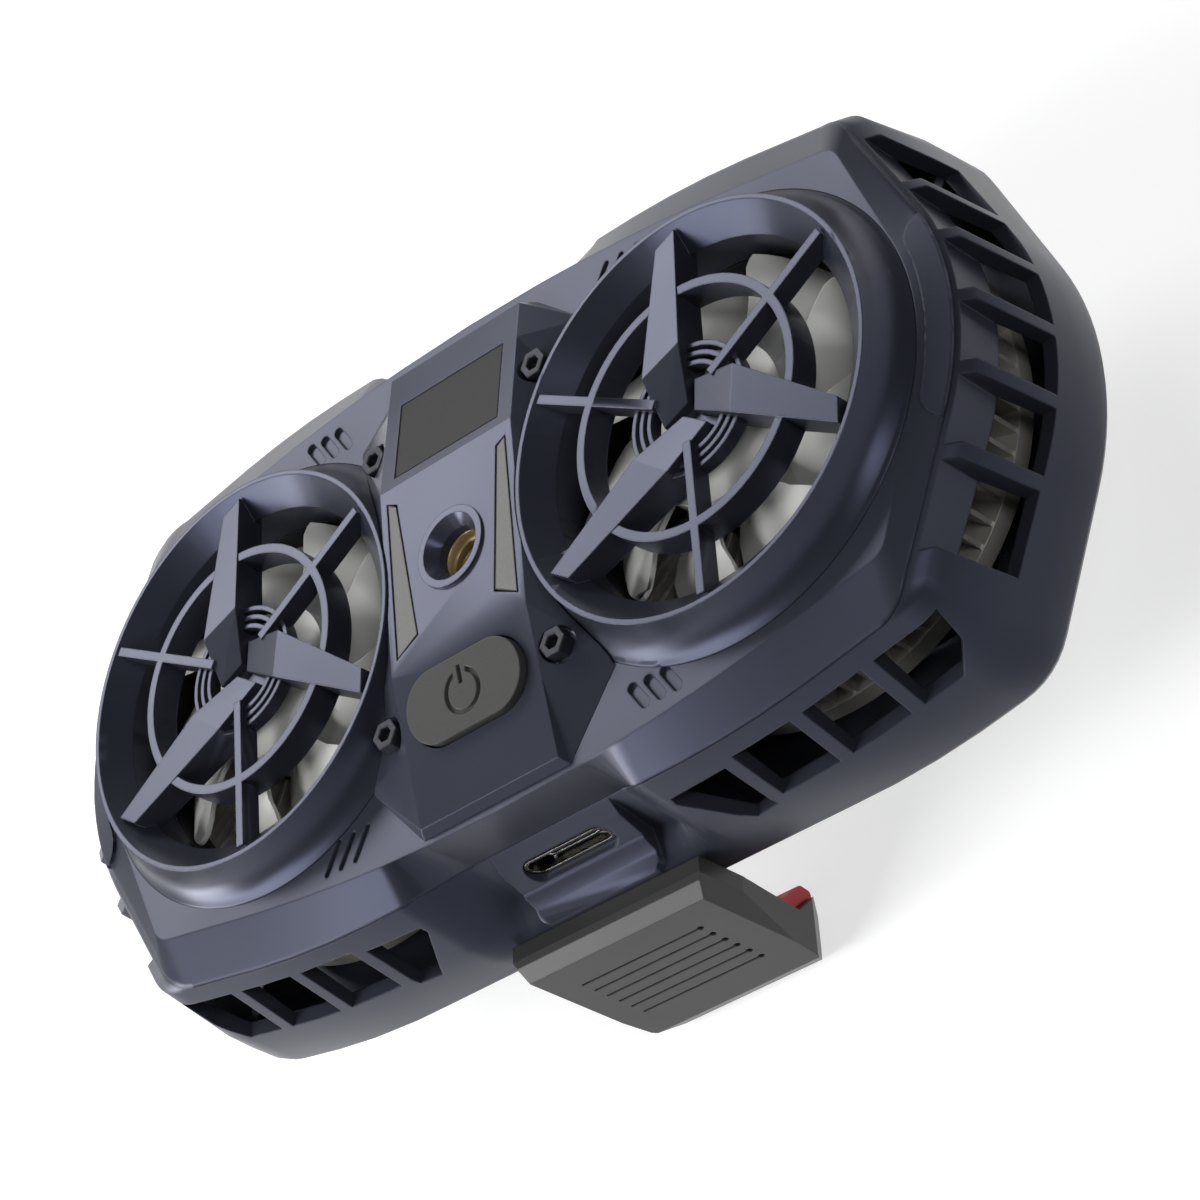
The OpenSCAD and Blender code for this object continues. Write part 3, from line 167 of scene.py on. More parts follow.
# %% The plastics
blue_sheen = "#c2caf6"
finishes = {
    # Semi-matt ABS: wide soft highlights that fade over the curved skirt
    "cover": moulded_plastic("cover_moulded_abs", "#343640", 0.31, 0.35, specular=0.34, sheen=blue_sheen),
    # The same plastic from a duller mould, painted a shade darker than the cover: painted shade, so the
    # side wall stays darker than the cover
    "housing": moulded_plastic(
        "housing_abs_painted_shade_darker", "#32343e", 0.33, 0.35, specular=0.34, sheen=blue_sheen),
    # Glossier ABS: nearly black in the hollow of the funnel, with a bright streak on the flare
    "guard": moulded_plastic("guard_moulded_abs", "#2c2e37", 0.29, 0.25, specular=0.5, sheen=blue_sheen),
    # Polished ABS: its flat facets change tone at once from one to the next
    "panel": moulded_plastic("panel_moulded_abs", "#373944", 0.23, 0.2, specular=0.4, sheen=blue_sheen),
    # Glass-filled nylon: a neutral dark grey with a coarser, duller grain than the body's
    "clamp": moulded_plastic(
        "clamp_moulded_nylon", "#333333", 0.36, 0.25, grain_mm=0.3, depth=0.12, specular=0.4),
    # Rough ABS with its grain drawn deep and 0.45 mm wide: the button looks soft beside the panel
    "button": moulded_plastic("button_moulded_abs", "#444443", 0.45, 0.3, grain_mm=0.45, depth=0.5),
    # Smooth natural polypropylene: pale blades that shine through the dark guards
    "blade": moulded_plastic("blade_moulded_polypropylene", "#dcdcd8", 0.33, 0.2, depth=0.02),
    # Plain black ABS: a dull dark ground behind the blades
    "frame": moulded_plastic("frame_moulded_black_abs", "#1c1c20", 0.5, 0.2),
    # Acetal: a waxy cream gear
    "gear": moulded_plastic("gear_moulded_acetal", "#d8d4c4", 0.35, 0.1, depth=0.02),
    # Silicone rubber: a matt red that keeps its colour in the shade of the jaw
    "pad": moulded_plastic("pad_cast_silicone", "#ea5f63", 0.6, 0.4, grain_mm=0.3, depth=0.06),
    # Filled epoxy of electronic parts: flat black with no highlight to speak of
    "epoxy": moulded_plastic("moulded_component_epoxy", "#1d1d20", 0.55, 0.1),
    # Alumina, fired and not glazed: chalk white and dull
    "ceramic": moulded_plastic("fired_alumina", "#e8e6e0", 0.6, 0.1, depth=0.03),
}
print("plastics", sorted(finishes))

# %% [markdown]
# The light bars are frosted acrylic and the display is tinted acrylic. A near-black line is painted round
# their edge. It is painted shade that stands in for the shade in the gap round each of them. The shade
# could come from a modelled gap, but the line is painted in the colour instead. The Bevel node gives a
# direction that differs from the face's own only near an edge, so the angle between the two tells where the
# line goes.
# Real frost is finer than 0.1 mm, and it is drawn as a cloudiness 0.4 mm across.

# %% Acrylic with painted shade along its edge
frost_mm = 0.4
# The near-black of the painted shade along the acrylic's edges
edge_shade_black = "#08080a"


def acrylic_with_edge_shade(name, code, roughness, edge_shade_mm, specular=0.22):
    material, tree = new_material(name)
    face = add(tree, "ShaderNodeNewGeometry").outputs["Normal"]
    near_edge = add(tree, "ShaderNodeBevel", {"Radius": edge_shade_mm * MM}, samples=8).outputs[0]
    angle = add(tree, "ShaderNodeVectorMath", {0: face, 1: near_edge}, operation="DOT_PRODUCT")
    line = add(tree, "ShaderNodeMapRange", {
        "Value": angle.outputs["Value"], "From Min": 0.97, "From Max": 0.995, "To Min": 1.0, "To Max": 0.0})
    place = add(tree, "ShaderNodeTexCoord").outputs["Object"]
    frost = add(tree, "ShaderNodeTexNoise", {"Vector": place, "Scale": 1 / (frost_mm * MM), "Detail": 2.0})
    cloudy = add(tree, "ShaderNodeMapRange", {
        "Value": frost.outputs["Fac"], "From Min": 0.3, "From Max": 0.7, "To Min": 0.95, "To Max": 1.04})
    body = add(tree, "ShaderNodeHueSaturation", {"Value": cloudy.outputs[0], "Color": srgb(code)})
    # Painted shade: near each edge the colour turns near-black, standing in for the shade in the gap round
    # the acrylic
    tone = add(tree, "ShaderNodeMix", {
        "Factor": line.outputs[0], "A": body.outputs[0], "B": srgb(edge_shade_black)}, data_type="RGBA")
    shader = add(tree, "ShaderNodeBsdfPrincipled", {
        "Base Color": tone.outputs["Result"], "Roughness": roughness, "Specular IOR Level": specular})
    finish_material(tree, shader)
    return material


# Frosted acrylic, unlit: an even pale grey without a highlight
finishes["diffuser"] = acrylic_with_edge_shade("light_bar_frosted_acrylic", "#6a6a67", 0.4, 0.3)
# Tinted acrylic with an anti-glare coat: a flat dark grey that hardly mirrors the lamps
finishes["display"] = acrylic_with_edge_shade("display_tinted_acrylic", "#363636", 0.4, 0.35, specular=0.08)
print("acrylics", finishes["diffuser"].name, finishes["display"].name)

# %% [markdown]
# Metals keep the default IOR and get their colour from the base colour alone. Brushing and turning leave
# fine scratches in one direction. A shader has a setting for that, but a baked picture of the surface can't
# hold it, so a noise is stretched along the tool's path instead. Real scratches are some 0.02 mm wide, and
# they are drawn at 0.2 mm so that they show.

# %% Metals
scratch_mm = 0.2
scratch_depth_mm = 0.03
broken_edge_mm = 0.15


def worked_metal(name, code, roughness, stretch, depth=0.08, metallic=1.0):
    material, tree = new_material(name)
    place = add(tree, "ShaderNodeTexCoord").outputs["Object"]
    lines = add(tree, "ShaderNodeMapping", {"Vector": place, "Scale": stretch})
    scratch = add(tree, "ShaderNodeTexNoise", {
        "Vector": lines.outputs[0], "Scale": 1 / (scratch_mm * MM), "Detail": 3.0})
    shine = add(tree, "ShaderNodeMapRange", {
        "Value": scratch.outputs["Fac"], "From Min": 0.3, "From Max": 0.7,
        "To Min": roughness - 0.06, "To Max": roughness + 0.08})
    edge = add(tree, "ShaderNodeBevel", {"Radius": broken_edge_mm * MM}, samples=4)
    bump = add(tree, "ShaderNodeBump", {
        "Height": scratch.outputs["Fac"], "Strength": depth, "Distance": scratch_depth_mm * MM,
        "Normal": edge.outputs[0]})
    shader = add(tree, "ShaderNodeBsdfPrincipled", {
        "Base Color": srgb(code), "Metallic": metallic, "Roughness": shine.outputs[0],
        "Normal": bump.outputs[0]})
    finish_material(tree, shader)
    return material


finishes.update({
    # Anodised fins: half metal, half chalky oxide, so they show pale in the shade of the vents. Their fine
    # mottle is drawn 0.7 mm wide
    "fins": worked_metal(
        "fins_anodised_aluminium", "#c2c0ba", 0.42, (0.3, 0.3, 0.3), depth=0.02, metallic=0.5),
    # Aluminium brushed along its length: highlights stretch across the brushing
    "plate": worked_metal("plate_brushed_aluminium", "#c9cbce", 0.3, (0.05, 1, 1)),
    # Turned brass, a little tarnished: fine rings round the axis and a warm, softened shine
    "brass": worked_metal("insert_turned_brass", "#dccaa4", 0.34, (1, 1, 6), depth=0.04, metallic=0.8),
    # Zinc or nickel plated steel: bright and slightly uneven
    "steel": worked_metal("plated_steel", "#b9bbbd", 0.3, (1, 1, 1)),
    # Steel with black oxide: dark, oily and soft in its highlights
    "black_steel": worked_metal(
        "bolts_black_oxide_steel", "#2b2c35", 0.48, (1, 1, 1), depth=0.02, metallic=0.6),
    # Drawn and plated steel: a dark mirror with thin bright lines along the mouth of the inlet
    "liner": worked_metal("liner_plated_steel", "#7c7972", 0.25, (0.1, 1, 1), depth=0.01),
    # Wound enamelled wire: the strands read as fine bands up the winding
    "copper": worked_metal("winding_enamelled_copper", "#b06a35", 0.35, (1, 1, 8)),
})
print("finishes", len(finishes))

# %% [markdown]
# A circuit board is glass-fibre epoxy under a green solder mask, smooth and a little glossy. Its copper
# tracks shine through the mask as straight lighter lines. They could be drawn one by one, but the boards
# show at most through the vents, so the mortar of a brick pattern stands for them. Its bricks are 4 mm
# long, which is half a step of the pattern. Real tracks lie closer together, and wouldn't show.

# %% Circuit board
brick_mm = 4
board, tree = new_material("board_solder_mask")
place = add(tree, "ShaderNodeTexCoord").outputs["Object"]
tracks = add(tree, "ShaderNodeTexBrick", {
    "Vector": place, "Scale": 0.5 / (brick_mm * MM), "Mortar Size": 0.03,
    "Color1": srgb("#1b4a30"), "Color2": srgb("#174229"), "Mortar": srgb("#2a6b45")})
shader = add(tree, "ShaderNodeBsdfPrincipled", {"Base Color": tracks.outputs["Color"], "Roughness": 0.35})
finish_material(tree, shader)
finishes["board"] = board
print("board", board.name)

# %% [markdown]
# Each part now gets its finish. A CAD part keeps its mesh, so only its material slots change.

# %% Hand out the finishes
wanted = {
    "cover": ["front_cover"],
    "housing": ["rear_housing", "rear_cover"],
    "guard": ["left_guard", "right_guard"],
    "panel": ["control_panel"],
    "clamp": ["lower_jaw", "upper_jaw"],
    "button": ["power_button"],
    "blade": ["left_rotor", "right_rotor"],
    "frame": ["left_fan_frame", "right_fan_frame", "rack_guide", "lower_rack", "upper_rack"],
    "gear": ["pinion"],
    "diffuser": ["left_light_bar", "right_light_bar"],
    "display": ["display_window"],
    "pad": ["lower_pad", "upper_pad"],
    "epoxy": ["display_module", "tact_switch"],
    "ceramic": ["left_cooling_module", "right_cooling_module"],
    "fins": ["left_heat_sink", "right_heat_sink"],
    "plate": ["cold_plate"],
    "brass": ["tripod_insert", "left_bearing", "right_bearing"],
    "steel": [
        "sink_screws", "usb_socket", "left_shaft", "right_shaft", "pinion_post", "lower_spring",
        "upper_spring"],
    "black_steel": ["panel_bolts", "cover_screws"],
    "liner": ["usb_liner"],
    "copper": ["left_stator", "right_stator"],
    "board": ["main_board", "panel_board"],
}
for finish, names in wanted.items():
    for name in names:
        part = frame["nodes"][name]
        part.data.materials.clear()
        part.data.materials.append(finishes[finish])
left_out = sorted(set(frame["nodes"]) - {name for names in wanted.values() for name in names})
print("parts without a finish", left_out)

# %% [markdown]
# Working by hand, one selects a piece, does something to it, and goes on to the next. In a script nobody
# sees what is still selected, and an operator acts on all of it. So each piece is first made the only one
# selected, and a modifier is applied as soon as it is set, which leaves a plain mesh.

# %% Tools for one piece at a time


def deselect_all():
    if bpy.context.object and bpy.context.object.mode != "OBJECT":
        bpy.ops.object.mode_set(mode="OBJECT")
    bpy.ops.object.select_all(action="DESELECT")


def make_active(piece):
    deselect_all()
    piece.select_set(True)
    bpy.context.view_layer.objects.active = piece


def apply_modifier(piece, kind, **settings):
    make_active(piece)
    modifier = piece.modifiers.new(kind.lower(), kind)
    for name, value in settings.items():
        setattr(modifier, name, value)
    bpy.ops.object.modifier_apply(modifier=modifier.name)


def round_edges(piece, edge_mm, least_angle):
    apply_modifier(
        piece, "BEVEL", width=edge_mm * MM, segments=2, limit_method="ANGLE", angle_limit=least_angle)


deselect_all()
print("pieces selected now", len(bpy.context.selected_objects))

# %% [markdown]
# The moulded parts are curved surfaces cut into many flat faces, with edges of no radius at all. Smoothing
# their meshes as they are does nothing, because each triangle lies loose. So a copy of each one is merged
# into one skin, its flat areas are dissolved into single faces, and its edges get the small radius that a
# mould leaves. The shading is then smoothed over shallow angles and weighted by area, so that curves look
# round and flat faces stay flat. The copy stands for the part, at the same place.

# %% Tool for a softened copy
merge_mm = 0.002
flat_angle = math.radians(0.4)
sharp_angle = math.radians(38)


def stand_in(piece, name):
    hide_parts(name)
    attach(piece, frame["nodes"][name]["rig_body"])


def softened_copy(name, smooth_angle, edge_mm):
    piece = bpy.data.objects.new(name + "_moulded", frame["nodes"][name].data.copy())
    bpy.context.scene.collection.objects.link(piece)
    make_active(piece)
    bpy.ops.object.mode_set(mode="EDIT")
    bpy.ops.mesh.select_all(action="SELECT")
    bpy.ops.mesh.remove_doubles(threshold=merge_mm * MM)
    bpy.ops.mesh.dissolve_limited(angle_limit=flat_angle)
    bpy.ops.object.mode_set(mode="OBJECT")
    if edge_mm:
        round_edges(piece, edge_mm, sharp_angle)
    make_active(piece)
    bpy.ops.object.shade_smooth_by_angle(angle=math.radians(smooth_angle))
    if edge_mm:
        apply_modifier(piece, "WEIGHTED_NORMAL", keep_sharp=True)
    stand_in(piece, name)
    return piece


# %% [markdown]
# The large shells and the rotors keep their sharp edges in the mesh, and the Bevel node of their plastic
# softens them. The smaller parts get a real radius. In each line, the first number is the angle up to which
# faces are smoothed, in degrees, and the second is the radius of the edges, in millimetres.

# %% Softened copies of the moulded parts
copies = {}
for name, smooth_angle, edge_mm in (
        ("front_cover", 18, 0), ("rear_housing", 18, 0), ("rear_cover", 18, 0),
        ("left_guard", 12, 0.14), ("right_guard", 12, 0.14), ("control_panel", 8, 0.14),
        ("power_button", 34, 0.3), ("lower_pad", 30, 0.4), ("upper_pad", 30, 0.4),
        ("panel_bolts", 20, 0.15), ("left_rotor", 40, 0), ("right_rotor", 40, 0)):
    copies[name] = softened_copy(name, smooth_angle, edge_mm)
    print(name, "faces", len(copies[name].data.polygons))

# %% [markdown]
# The body is a loft through a few outlines: rounded ends, straight tapering sides and a narrow waist. A
# finer loft could replace the shells, but their vents and seats would have to be cut again. Instead, the
# same outlines are drawn here, much finer, so that each facet of the shells can take the direction of the
# true curve at its corners. These are the sizes of the CAD model, in millimetres. An outline is given by
# the radius and the angle of its end, where its side starts to bend and where it is straight again, its
# half width at the fans and at the waist, the length of its corner, and its heights at the end, along the
# side and at the waist.

# %% The body's outlines
fan_x, end_r, half_w, waist_w, bulge = 38.0, 36.8, 39.1, 34.4, 1.9
waist_l, neck_l, side_slope = 12.0, 20.0, math.tan(math.radians(10.5))
belly_r, belly_w, skirt_w = end_r + bulge, half_w + bulge, half_w + 1.1
Outline = namedtuple(
    "Outline", "end_r end_angle bend_x straight_x half_w waist_w corner end_z side_z waist_z")
levels = {
    "crease": Outline(end_r - 6.6, 21, 0, fan_x + 8, half_w - 3.9, half_w - 3.9, 2, 27.4, 27.4, 27.4),
    "parting": Outline(end_r - 2.2, 27, 24, fan_x + 8, half_w, waist_w, 3, 26.2, 24.4, 19.0),
    "edge": Outline(end_r, 27, 24, fan_x + 8, half_w + 0.15, waist_w + 0.2, 3, 24.7, 24.0, 18.5),
    "belly": Outline(belly_r - 0.5, 26, 30, fan_x + 12, belly_w, waist_w + 1.4, 4, 13.0, 13.0, 11.0),
    "ledge": Outline(belly_r - 0.3, 25, 33, fan_x + 14, belly_w - 0.1, half_w + 1.3, 5, 8.6, 8.6, 9.0),
    "skirt": Outline(belly_r - 0.2, 24, 36, fan_x + 16, skirt_w, skirt_w, 5, 4.6, 4.6, 4.6),
    "foot": Outline(belly_r - 0.5, 24, 36, fan_x + 16, skirt_w - 0.3, skirt_w - 0.3, 5, 3.05, 3.05, 3.05),
}
print("outlines", list(levels))

# %% [markdown]
# An outline is the same in all four quarters, so one quarter is worked out and mirrored. It runs along the
# side, drawn in at the waist and bending over into the taper, then round the corner, which is a curve
# guided by three points, and then along the arc of the end. The corner takes most of the rise from the
# side to the end.

# %% Points of an outline
neck_steps, side_steps, corner_steps, end_steps = 16, 24, 24, 20
corner_rise = 0.6


def blend(a, b, t):
    return a + (b - a) * t


def neck(x):
    t = min(1, max(0, (x - waist_l) / (neck_l - waist_l)))
    return t * t * (3 - 2 * t)


def side_y(line, x):
    bend = line.straight_x - line.bend_x
    run = min(max(x - line.bend_x, 0), bend)
    return line.half_w - run * run * side_slope / (2 * bend) - max(x - line.straight_x, 0) * side_slope


def side_point(line, x):
    drawn_in = (line.half_w - line.waist_w) * (1 - neck(x))
    return Vector((x, side_y(line, x) - drawn_in, blend(line.waist_z, line.side_z, neck(x))))


def corner_point(line, t):
    sine, cosine = math.sin(math.radians(line.end_angle)), math.cos(math.radians(line.end_angle))
    x, y = fan_x + line.end_r * cosine, line.end_r * sine
    side_there = side_y(line, line.straight_x) - side_slope * (x - line.straight_x)
    reach = (side_there - y) / (cosine - side_slope * sine)
    peak = Vector((x - reach * sine, y + reach * cosine))
    slope = math.atan(side_slope)
    start = peak - line.corner * Vector((math.cos(slope), -math.sin(slope)))
    stop = peak + line.corner * Vector((sine, -cosine))
    place = start * (1 - t) ** 2 + peak * 2 * t * (1 - t) + stop * t * t
    return Vector((place.x, place.y, blend(line.side_z, line.end_z, t * corner_rise)))


def fine_outline(line):
    stop = corner_point(line, 0).x
    quarter = [side_point(line, x) for x in (0, 4, 8)]
    quarter += [side_point(line, blend(waist_l, neck_l, i / neck_steps)) for i in range(neck_steps)]
    quarter += [side_point(line, blend(neck_l, stop, i / side_steps)) for i in range(side_steps)]
    quarter += [corner_point(line, i / corner_steps) for i in range(corner_steps + 1)]
    for i in range(end_steps + 1):
        a = math.radians(line.end_angle * (1 - i / end_steps))
        quarter.append(Vector((fan_x + line.end_r * math.cos(a), line.end_r * math.sin(a), line.end_z)))
    other = [Vector((-v.x, v.y, v.z)) for v in quarter[:-1]][::-1]
    half = other[:-1] + quarter[:-1]
    return [v * MM for v in half] + [Vector((-v.x, -v.y, v.z)) * MM for v in half]


print("points round the body", len(fine_outline(levels["edge"])))

# %% [markdown]
# A shell of this loft is laid over the softened copy, and a search tree finds the place on it that is
# nearest to a point. Where a face of the copy lies on the loft, each corner of the face takes the loft's
# own direction at that place, so the shading is that of the smooth curve. A face counts as lying on the
# loft when it is near it and turned much as it is. At the two ends only faces that are turned almost
# exactly so count, because the raised strips there have to keep their own edges. At the neck of the cover
# the facets are twisted, so there even a rough match counts.

# %% Directions of the true curve
near_face, near_corner = 0.9 * MM, 1.2 * MM
side_likeness, end_likeness, twisted_likeness = 0.85, 0.975, 0.55
strip_half_y, twisted_half_x = 15 * MM, 22 * MM


def loft_directions(names):
    rings = [fine_outline(levels[name]) for name in names]
    count = len(rings[0])
    points = [v for ring in rings for v in ring]
    faces = [
        (k * count + i, k * count + (i + 1) % count, (k + 1) * count + (i + 1) % count, (k + 1) * count + i)
        for k in range(len(rings) - 1) for i in range(count)]
    loft = bpy.data.meshes.new("loft_directions")
    loft.from_pydata([tuple(v) for v in points], [], faces)
    directions = [v.normal.copy() for v in loft.vertices]
    if directions[0].dot(points[0]) < 0:
        directions = [-d for d in directions]
    bpy.data.meshes.remove(loft)
    return BVHTree.FromPolygons(points, faces), points, faces, directions


def lies_on(loft, face, neck_likeness):
    surface, points, faces, directions = loft
    place, normal, index, distance = surface.find_nearest(face.center)
    likeness = end_likeness if abs(face.center.y) < strip_half_y else side_likeness
    if abs(face.center.x) < twisted_half_x:
        likeness = neck_likeness
    near = distance <= near_face and abs(normal.dot(face.normal)) >= likeness
    return near and face.normal.dot(directions[faces[index][0]]) >= 0


def follow_loft(piece, loft, neck_likeness=side_likeness):
    """Turn the corners of faces that lie on the loft, and leave ribs, slots and chamfers as they are."""
    surface, points, faces, directions = loft
    mesh = piece.data
    corners = [c.vector.copy() for c in mesh.corner_normals]
    on_loft = [face for face in mesh.polygons if lies_on(loft, face, neck_likeness)]
    for face in on_loft:
        for loop in face.loop_indices:
            corner = mesh.vertices[mesh.loops[loop].vertex_index].co
            place, normal, index, distance = surface.find_nearest(corner)
            weights = poly_3d_calc([points[k] for k in faces[index]], place)
            direction = sum((directions[k] * w for k, w in zip(faces[index], weights)), Vector())
            if distance < near_corner and direction.length > 0.1:
                corners[loop] = direction.normalized()
    mesh.normals_split_custom_set(corners)
    print(piece.name, "faces that follow the loft", len(on_loft), "of", len(mesh.polygons))


cover_loft = loft_directions(["crease", "parting"])
housing_loft = loft_directions(["parting", "edge", "belly", "ledge", "skirt", "foot"])
follow_loft(copies["front_cover"], cover_loft, neck_likeness=twisted_likeness)
follow_loft(copies["rear_housing"], housing_loft)

# %% [markdown]
# Each clamp jaw is a moulded hook with a broad chamfer along its upper edge. A Bevel modifier would cut all
# edges alike, so the chamfer is made by moving corners at the top of the outer face: the upper line goes
# inwards and a little to the sides, and the lower line goes up towards it. Then the edges get their small
# radius, and the flat faces stay flat.

# %% Clamp jaws
jaw_edge_mm = 0.3
jaw_face_depth = 1.5 * MM
# Each line: two heights that its corners lie between, how far they go inwards and up, all in millimetres,
# and by what factor the line gets wider
chamfer_moves = ((9, 9.5, 1.1, 0.25, 1.03), (7, 7.4, 0, 0.9, 1))
for name, outward in (("lower_jaw", -1), ("upper_jaw", 1)):
    jaw = softened_copy(name, 10, 0)
    outer = max(outward * v.co.y for v in jaw.data.vertices)
    for low, high, inwards, up, wider in chamfer_moves:
        make_active(jaw)
        bpy.ops.object.mode_set(mode="EDIT")
        bpy.ops.mesh.select_all(action="DESELECT")
        bpy.ops.object.mode_set(mode="OBJECT")
        for vertex in jaw.data.vertices:
            vertex.select = low < vertex.co.z / MM < high and outward * vertex.co.y > outer - jaw_face_depth
        moved = sum(vertex.select for vertex in jaw.data.vertices)
        bpy.ops.object.mode_set(mode="EDIT")
        bpy.ops.transform.translate(value=(0, -outward * inwards * MM, up * MM))
        bpy.ops.transform.resize(value=(wider, 1, 1), center_override=(0, 0, 0))
        bpy.ops.object.mode_set(mode="OBJECT")
        print(name, "corners moved", moved)
    round_edges(jaw, jaw_edge_mm, math.radians(20))
    apply_modifier(jaw, "WEIGHTED_NORMAL", keep_sharp=True)

# %% [markdown]
# The brass insert is a turned bush with a quarter inch tripod thread, 20 turns to the inch. The eye looks
# straight into its bore, so the thread is a real shape and not a pattern in the metal. A triangular ridge
# is swept round by the Screw modifier, which raises it by one pitch a turn. The plain bush comes first.

# %% The plain bush
bush_radius, bush_wall, bush_edge_mm = 4 * MM, 0.82 * MM, 0.25
insert_low, insert_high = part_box("tripod_insert")
middle_x, middle_y = ((insert_low[axis] + insert_high[axis]) / 2 for axis in (0, 1))
insert_place = Vector((middle_x, middle_y, insert_low.z))
insert_length = insert_high.z - insert_low.z
deselect_all()
bpy.ops.mesh.primitive_cylinder_add(
    vertices=72, radius=bush_radius, depth=insert_length, end_fill_type="NOTHING",
    location=insert_place + Vector((0, 0, insert_length / 2)))
bush = bpy.context.object
bush.name = "tripod_insert_threaded"
bpy.ops.object.transform_apply(location=True, rotation=True, scale=True)
apply_modifier(bush, "SOLIDIFY", thickness=bush_wall, offset=-1)
round_edges(bush, bush_edge_mm, math.radians(50))
print("bush length in mm", round(insert_length / MM, 2))

# %% [markdown]
# The ridge starts as a circle of three points, which is a triangle. It is turned upright, moved out to the
# wall of the bore, and then swept.

# %% The thread
thread_pitch = 25.4 / 20 * MM
ridge_size, ridge_radius, ridge_start = 0.5 * MM, 3.1 * MM, 0.7 * MM
thread_turns, steps_a_turn = 5, 48
deselect_all()
bpy.ops.mesh.primitive_circle_add(vertices=3, radius=ridge_size, fill_type="NOTHING")
ridge = bpy.context.object
bpy.ops.object.mode_set(mode="EDIT")
bpy.ops.mesh.select_all(action="SELECT")
bpy.ops.transform.rotate(value=math.radians(90), orient_axis="X", center_override=(0, 0, 0))
bpy.ops.transform.rotate(value=math.radians(90), orient_axis="Y", center_override=(0, 0, 0))
bpy.ops.transform.translate(value=(ridge_radius, 0, ridge_start))
bpy.ops.object.mode_set(mode="OBJECT")
apply_modifier(
    ridge, "SCREW", axis="Z", screw_offset=thread_pitch, iterations=thread_turns, steps=steps_a_turn,
    render_steps=steps_a_turn, use_normal_calculate=True)
make_active(ridge)
bpy.ops.object.mode_set(mode="EDIT")
bpy.ops.mesh.select_all(action="SELECT")
bpy.ops.transform.translate(value=insert_place)
bpy.ops.object.mode_set(mode="OBJECT")
ridge_ends = (ridge.bound_box[0], ridge.bound_box[6])
print("ridge box in mm", [tuple(round(c / MM, 2) for c in corner) for corner in ridge_ends])
bush.data.materials.clear()
ridge.data.materials.clear()
bush.select_set(True)
bpy.context.view_layer.objects.active = bush
bpy.ops.object.join()
bush.data.materials.append(finishes["brass"])
make_active(bush)
bpy.ops.object.shade_smooth_by_angle(angle=math.radians(35))
stand_in(bush, "tripod_insert")

# %% [markdown]
# The product stands on its jaws, so the floor lies at their lowest point. It is a plain pale sheet that
# the camera and every reflection see as nearly white, and that keeps the soft shadow of the object. The
# light that it throws back on the object is that of a darker sheet. More light would turn it white too, but
# would spoil the tones of the object. Far from the lamps the sheet would turn grey, so its own glow grows
# with the distance, from 0.6 close to the object to 0.95 at 1.2 m.

# %% Floor
floor_size, floor_gap = 40, 0.05 * MM
sheet_seen, sheet_lit = "#cacaca", "#5c5c5e"


def seen_directly(tree):
    """1 where the camera, a mirror or a glass looks at the surface, 0 where its light falls on a part."""
    paths = add(tree, "ShaderNodeLightPath").outputs
    seen = add(tree, "ShaderNodeMath", {
        0: paths["Is Camera Ray"], 1: paths["Is Glossy Ray"]}, operation="MAXIMUM")
    return add(tree, "ShaderNodeMath", {
        0: seen.outputs[0], 1: paths["Is Transmission Ray"]}, operation="MAXIMUM").outputs[0]


deselect_all()
bpy.ops.mesh.primitive_plane_add(size=floor_size, location=(0, 0, cad_low.z - floor_gap))
floor = bpy.context.object
floor.name = "studio_floor"
material, tree = new_material("studio_pale_sheet")
seen = seen_directly(tree)
tone = add(tree, "ShaderNodeMix", {
    "Factor": seen, "A": srgb(sheet_lit), "B": srgb(sheet_seen)}, data_type="RGBA")
paper = add(tree, "ShaderNodeBsdfDiffuse", {"Color": tone.outputs["Result"]})
away = add(tree, "ShaderNodeVectorMath", {
    0: add(tree, "ShaderNodeTexCoord").outputs["Object"]}, operation="LENGTH")
needed = add(tree, "ShaderNodeMapRange", {
    "Value": away.outputs["Value"], "From Min": 0.2, "From Max": 1.2, "To Min": 0.6, "To Max": 0.95})
glow_strength = add(tree, "ShaderNodeMath", {0: seen, 1: needed.outputs[0]}, operation="MULTIPLY")
glow = add(tree, "ShaderNodeEmission", {"Color": srgb("#ffffff"), "Strength": glow_strength.outputs[0]})
sheet = add(tree, "ShaderNodeAddShader", {0: paper.outputs[0], 1: glow.outputs[0]})
finish_material(tree, sheet)
floor.data.materials.append(material)
print("floor height in mm", round((cad_low.z - floor_gap) / MM, 2))

# %% [markdown]
# Glossy dark plastic shows its form by what it reflects, so each lamp is placed where a surface mirrors it
# to the camera. One large softbox behind the fans gives the flat faces their even tone. A strip at the left
# lights the side wall, one in front draws the band on the jaw and lights the slope of the cover, and one at
# the right draws the streak on the flared rim.

# %% Lamps
aim_height = 15 * MM
# Each line: name, direction from the object, distance, width and height in metres, power in watts
lamps = (
    ("key_softbox", (-0.46, 0.66, 0.595), 0.9, (0.78, 0.3), 5.0),
    ("left_strip", (-0.93, -0.3, 0.12), 0.8, (0.3, 0.6), 5.4),
    ("front_strip", (-0.62, -0.45, 0.66), 0.9, (0.5, 0.42), 4.9),
    ("right_softbox", (0.72, -0.32, 0.6), 0.9, (0.22, 0.5), 1.8),
)
for name, toward, distance, size, power in lamps:
    data = bpy.data.lights.new(name, "AREA")
    data.shape, data.size, data.size_y = "RECTANGLE", size[0], size[1]
    data.energy, data.color = power, srgb("#ffffff")[:3]
    lamp = bpy.data.objects.new(name, data)
    bpy.context.scene.collection.objects.link(lamp)
    direction = Vector(toward).normalized()
    lamp.location = direction * distance + Vector((0, 0, aim_height))
    lamp.rotation_mode = "QUATERNION"
    lamp.rotation_quaternion = direction.to_track_quat("Z", "Y")
    print(name, "at", [round(v, 2) for v in lamp.location])

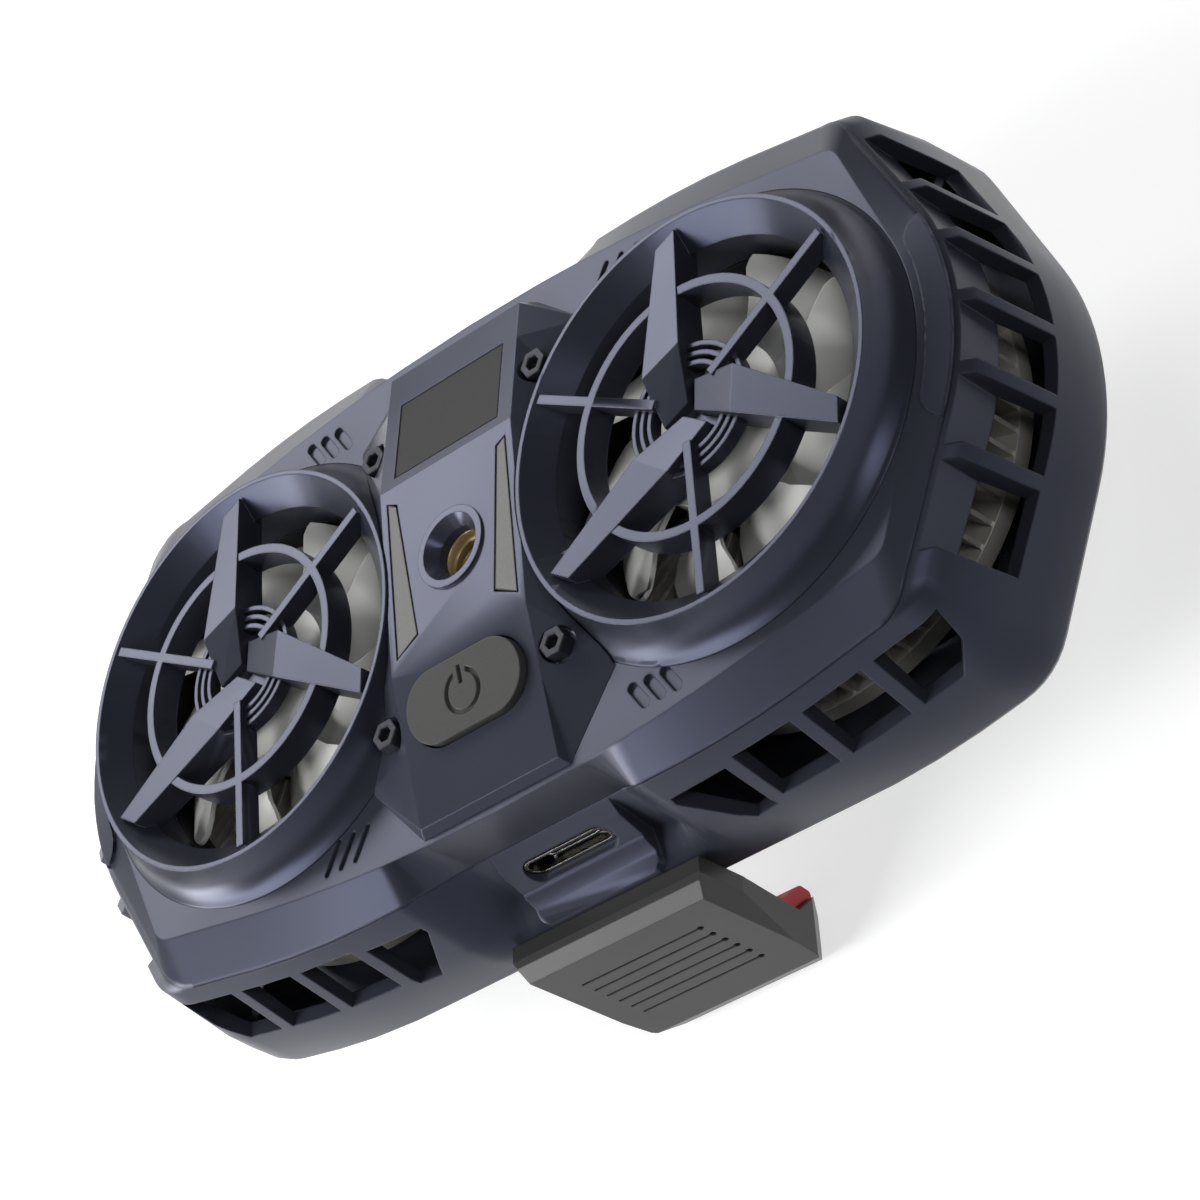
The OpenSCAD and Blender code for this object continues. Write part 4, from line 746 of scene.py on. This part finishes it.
# %% [markdown]
# The sky is a dim even white. Near the horizon the eye and the reflections see it as pale as the floor, so
# that no line shows where the floor ends.

# %% Sky
sky_strength, horizon_strength = 0.11, 0.98
world = bpy.data.worlds.new("studio_world")
world.use_nodes = True
world.node_tree.nodes.clear()
tree = world.node_tree
seen = seen_directly(tree)
direction = add(tree, "ShaderNodeTexCoord").outputs["Generated"]
height = add(tree, "ShaderNodeSeparateXYZ", {"Vector": direction})
horizon = add(tree, "ShaderNodeMapRange", {
    "Value": height.outputs["Z"], "From Min": 0.06, "From Max": 0.3,
    "To Min": horizon_strength, "To Max": sky_strength})
strength = add(tree, "ShaderNodeMix", {
    "Factor": seen, "A": sky_strength, "B": horizon.outputs[0]}, data_type="FLOAT")
sky = add(tree, "ShaderNodeBackground", {"Color": srgb("#ffffff"), "Strength": strength.outputs[0]})
add(tree, "ShaderNodeOutputWorld", {"Surface": sky.outputs[0]})
bpy.context.scene.world = world
bpy.context.scene.view_settings.view_transform = "Standard"
print("sky strength", sky_strength)

# %% [markdown]
# The camera was matched to the photo: it looks down on the fans from half a metre, past the right end of
# the side with the charging inlet, and it is rolled so that the long side of the cooler climbs to the
# right. Three directions give that turn without angles: where the right side, the lower edge and the depth
# of the picture point, in the frame of the object. The lens is a long one, 118.53 mm for a picture that is
# 36 mm wide, so that the far end of the cooler hardly shrinks.

# %% Camera
eye = Vector((0.2731, -0.2620, 0.3241))
right = Vector((0.72904571, -0.06628642, -0.68124773))
down = Vector((-0.4065819, -0.84261296, -0.35312116))
forward = Vector((-0.55062103, 0.53442446, -0.64125422))
lens = bpy.data.cameras.new("product_camera")
lens.sensor_width, lens.lens = 36, 118.53
lens.clip_start, lens.clip_end = 0.01, 20
camera = bpy.data.objects.new("product_camera", lens)
bpy.context.scene.collection.objects.link(camera)
turn = Matrix((right, -down, -forward)).transposed()
camera.matrix_world = Matrix.Translation(eye) @ turn.to_4x4()
bpy.context.scene.camera = camera
print("camera distance in metres", round(eye.length, 3))
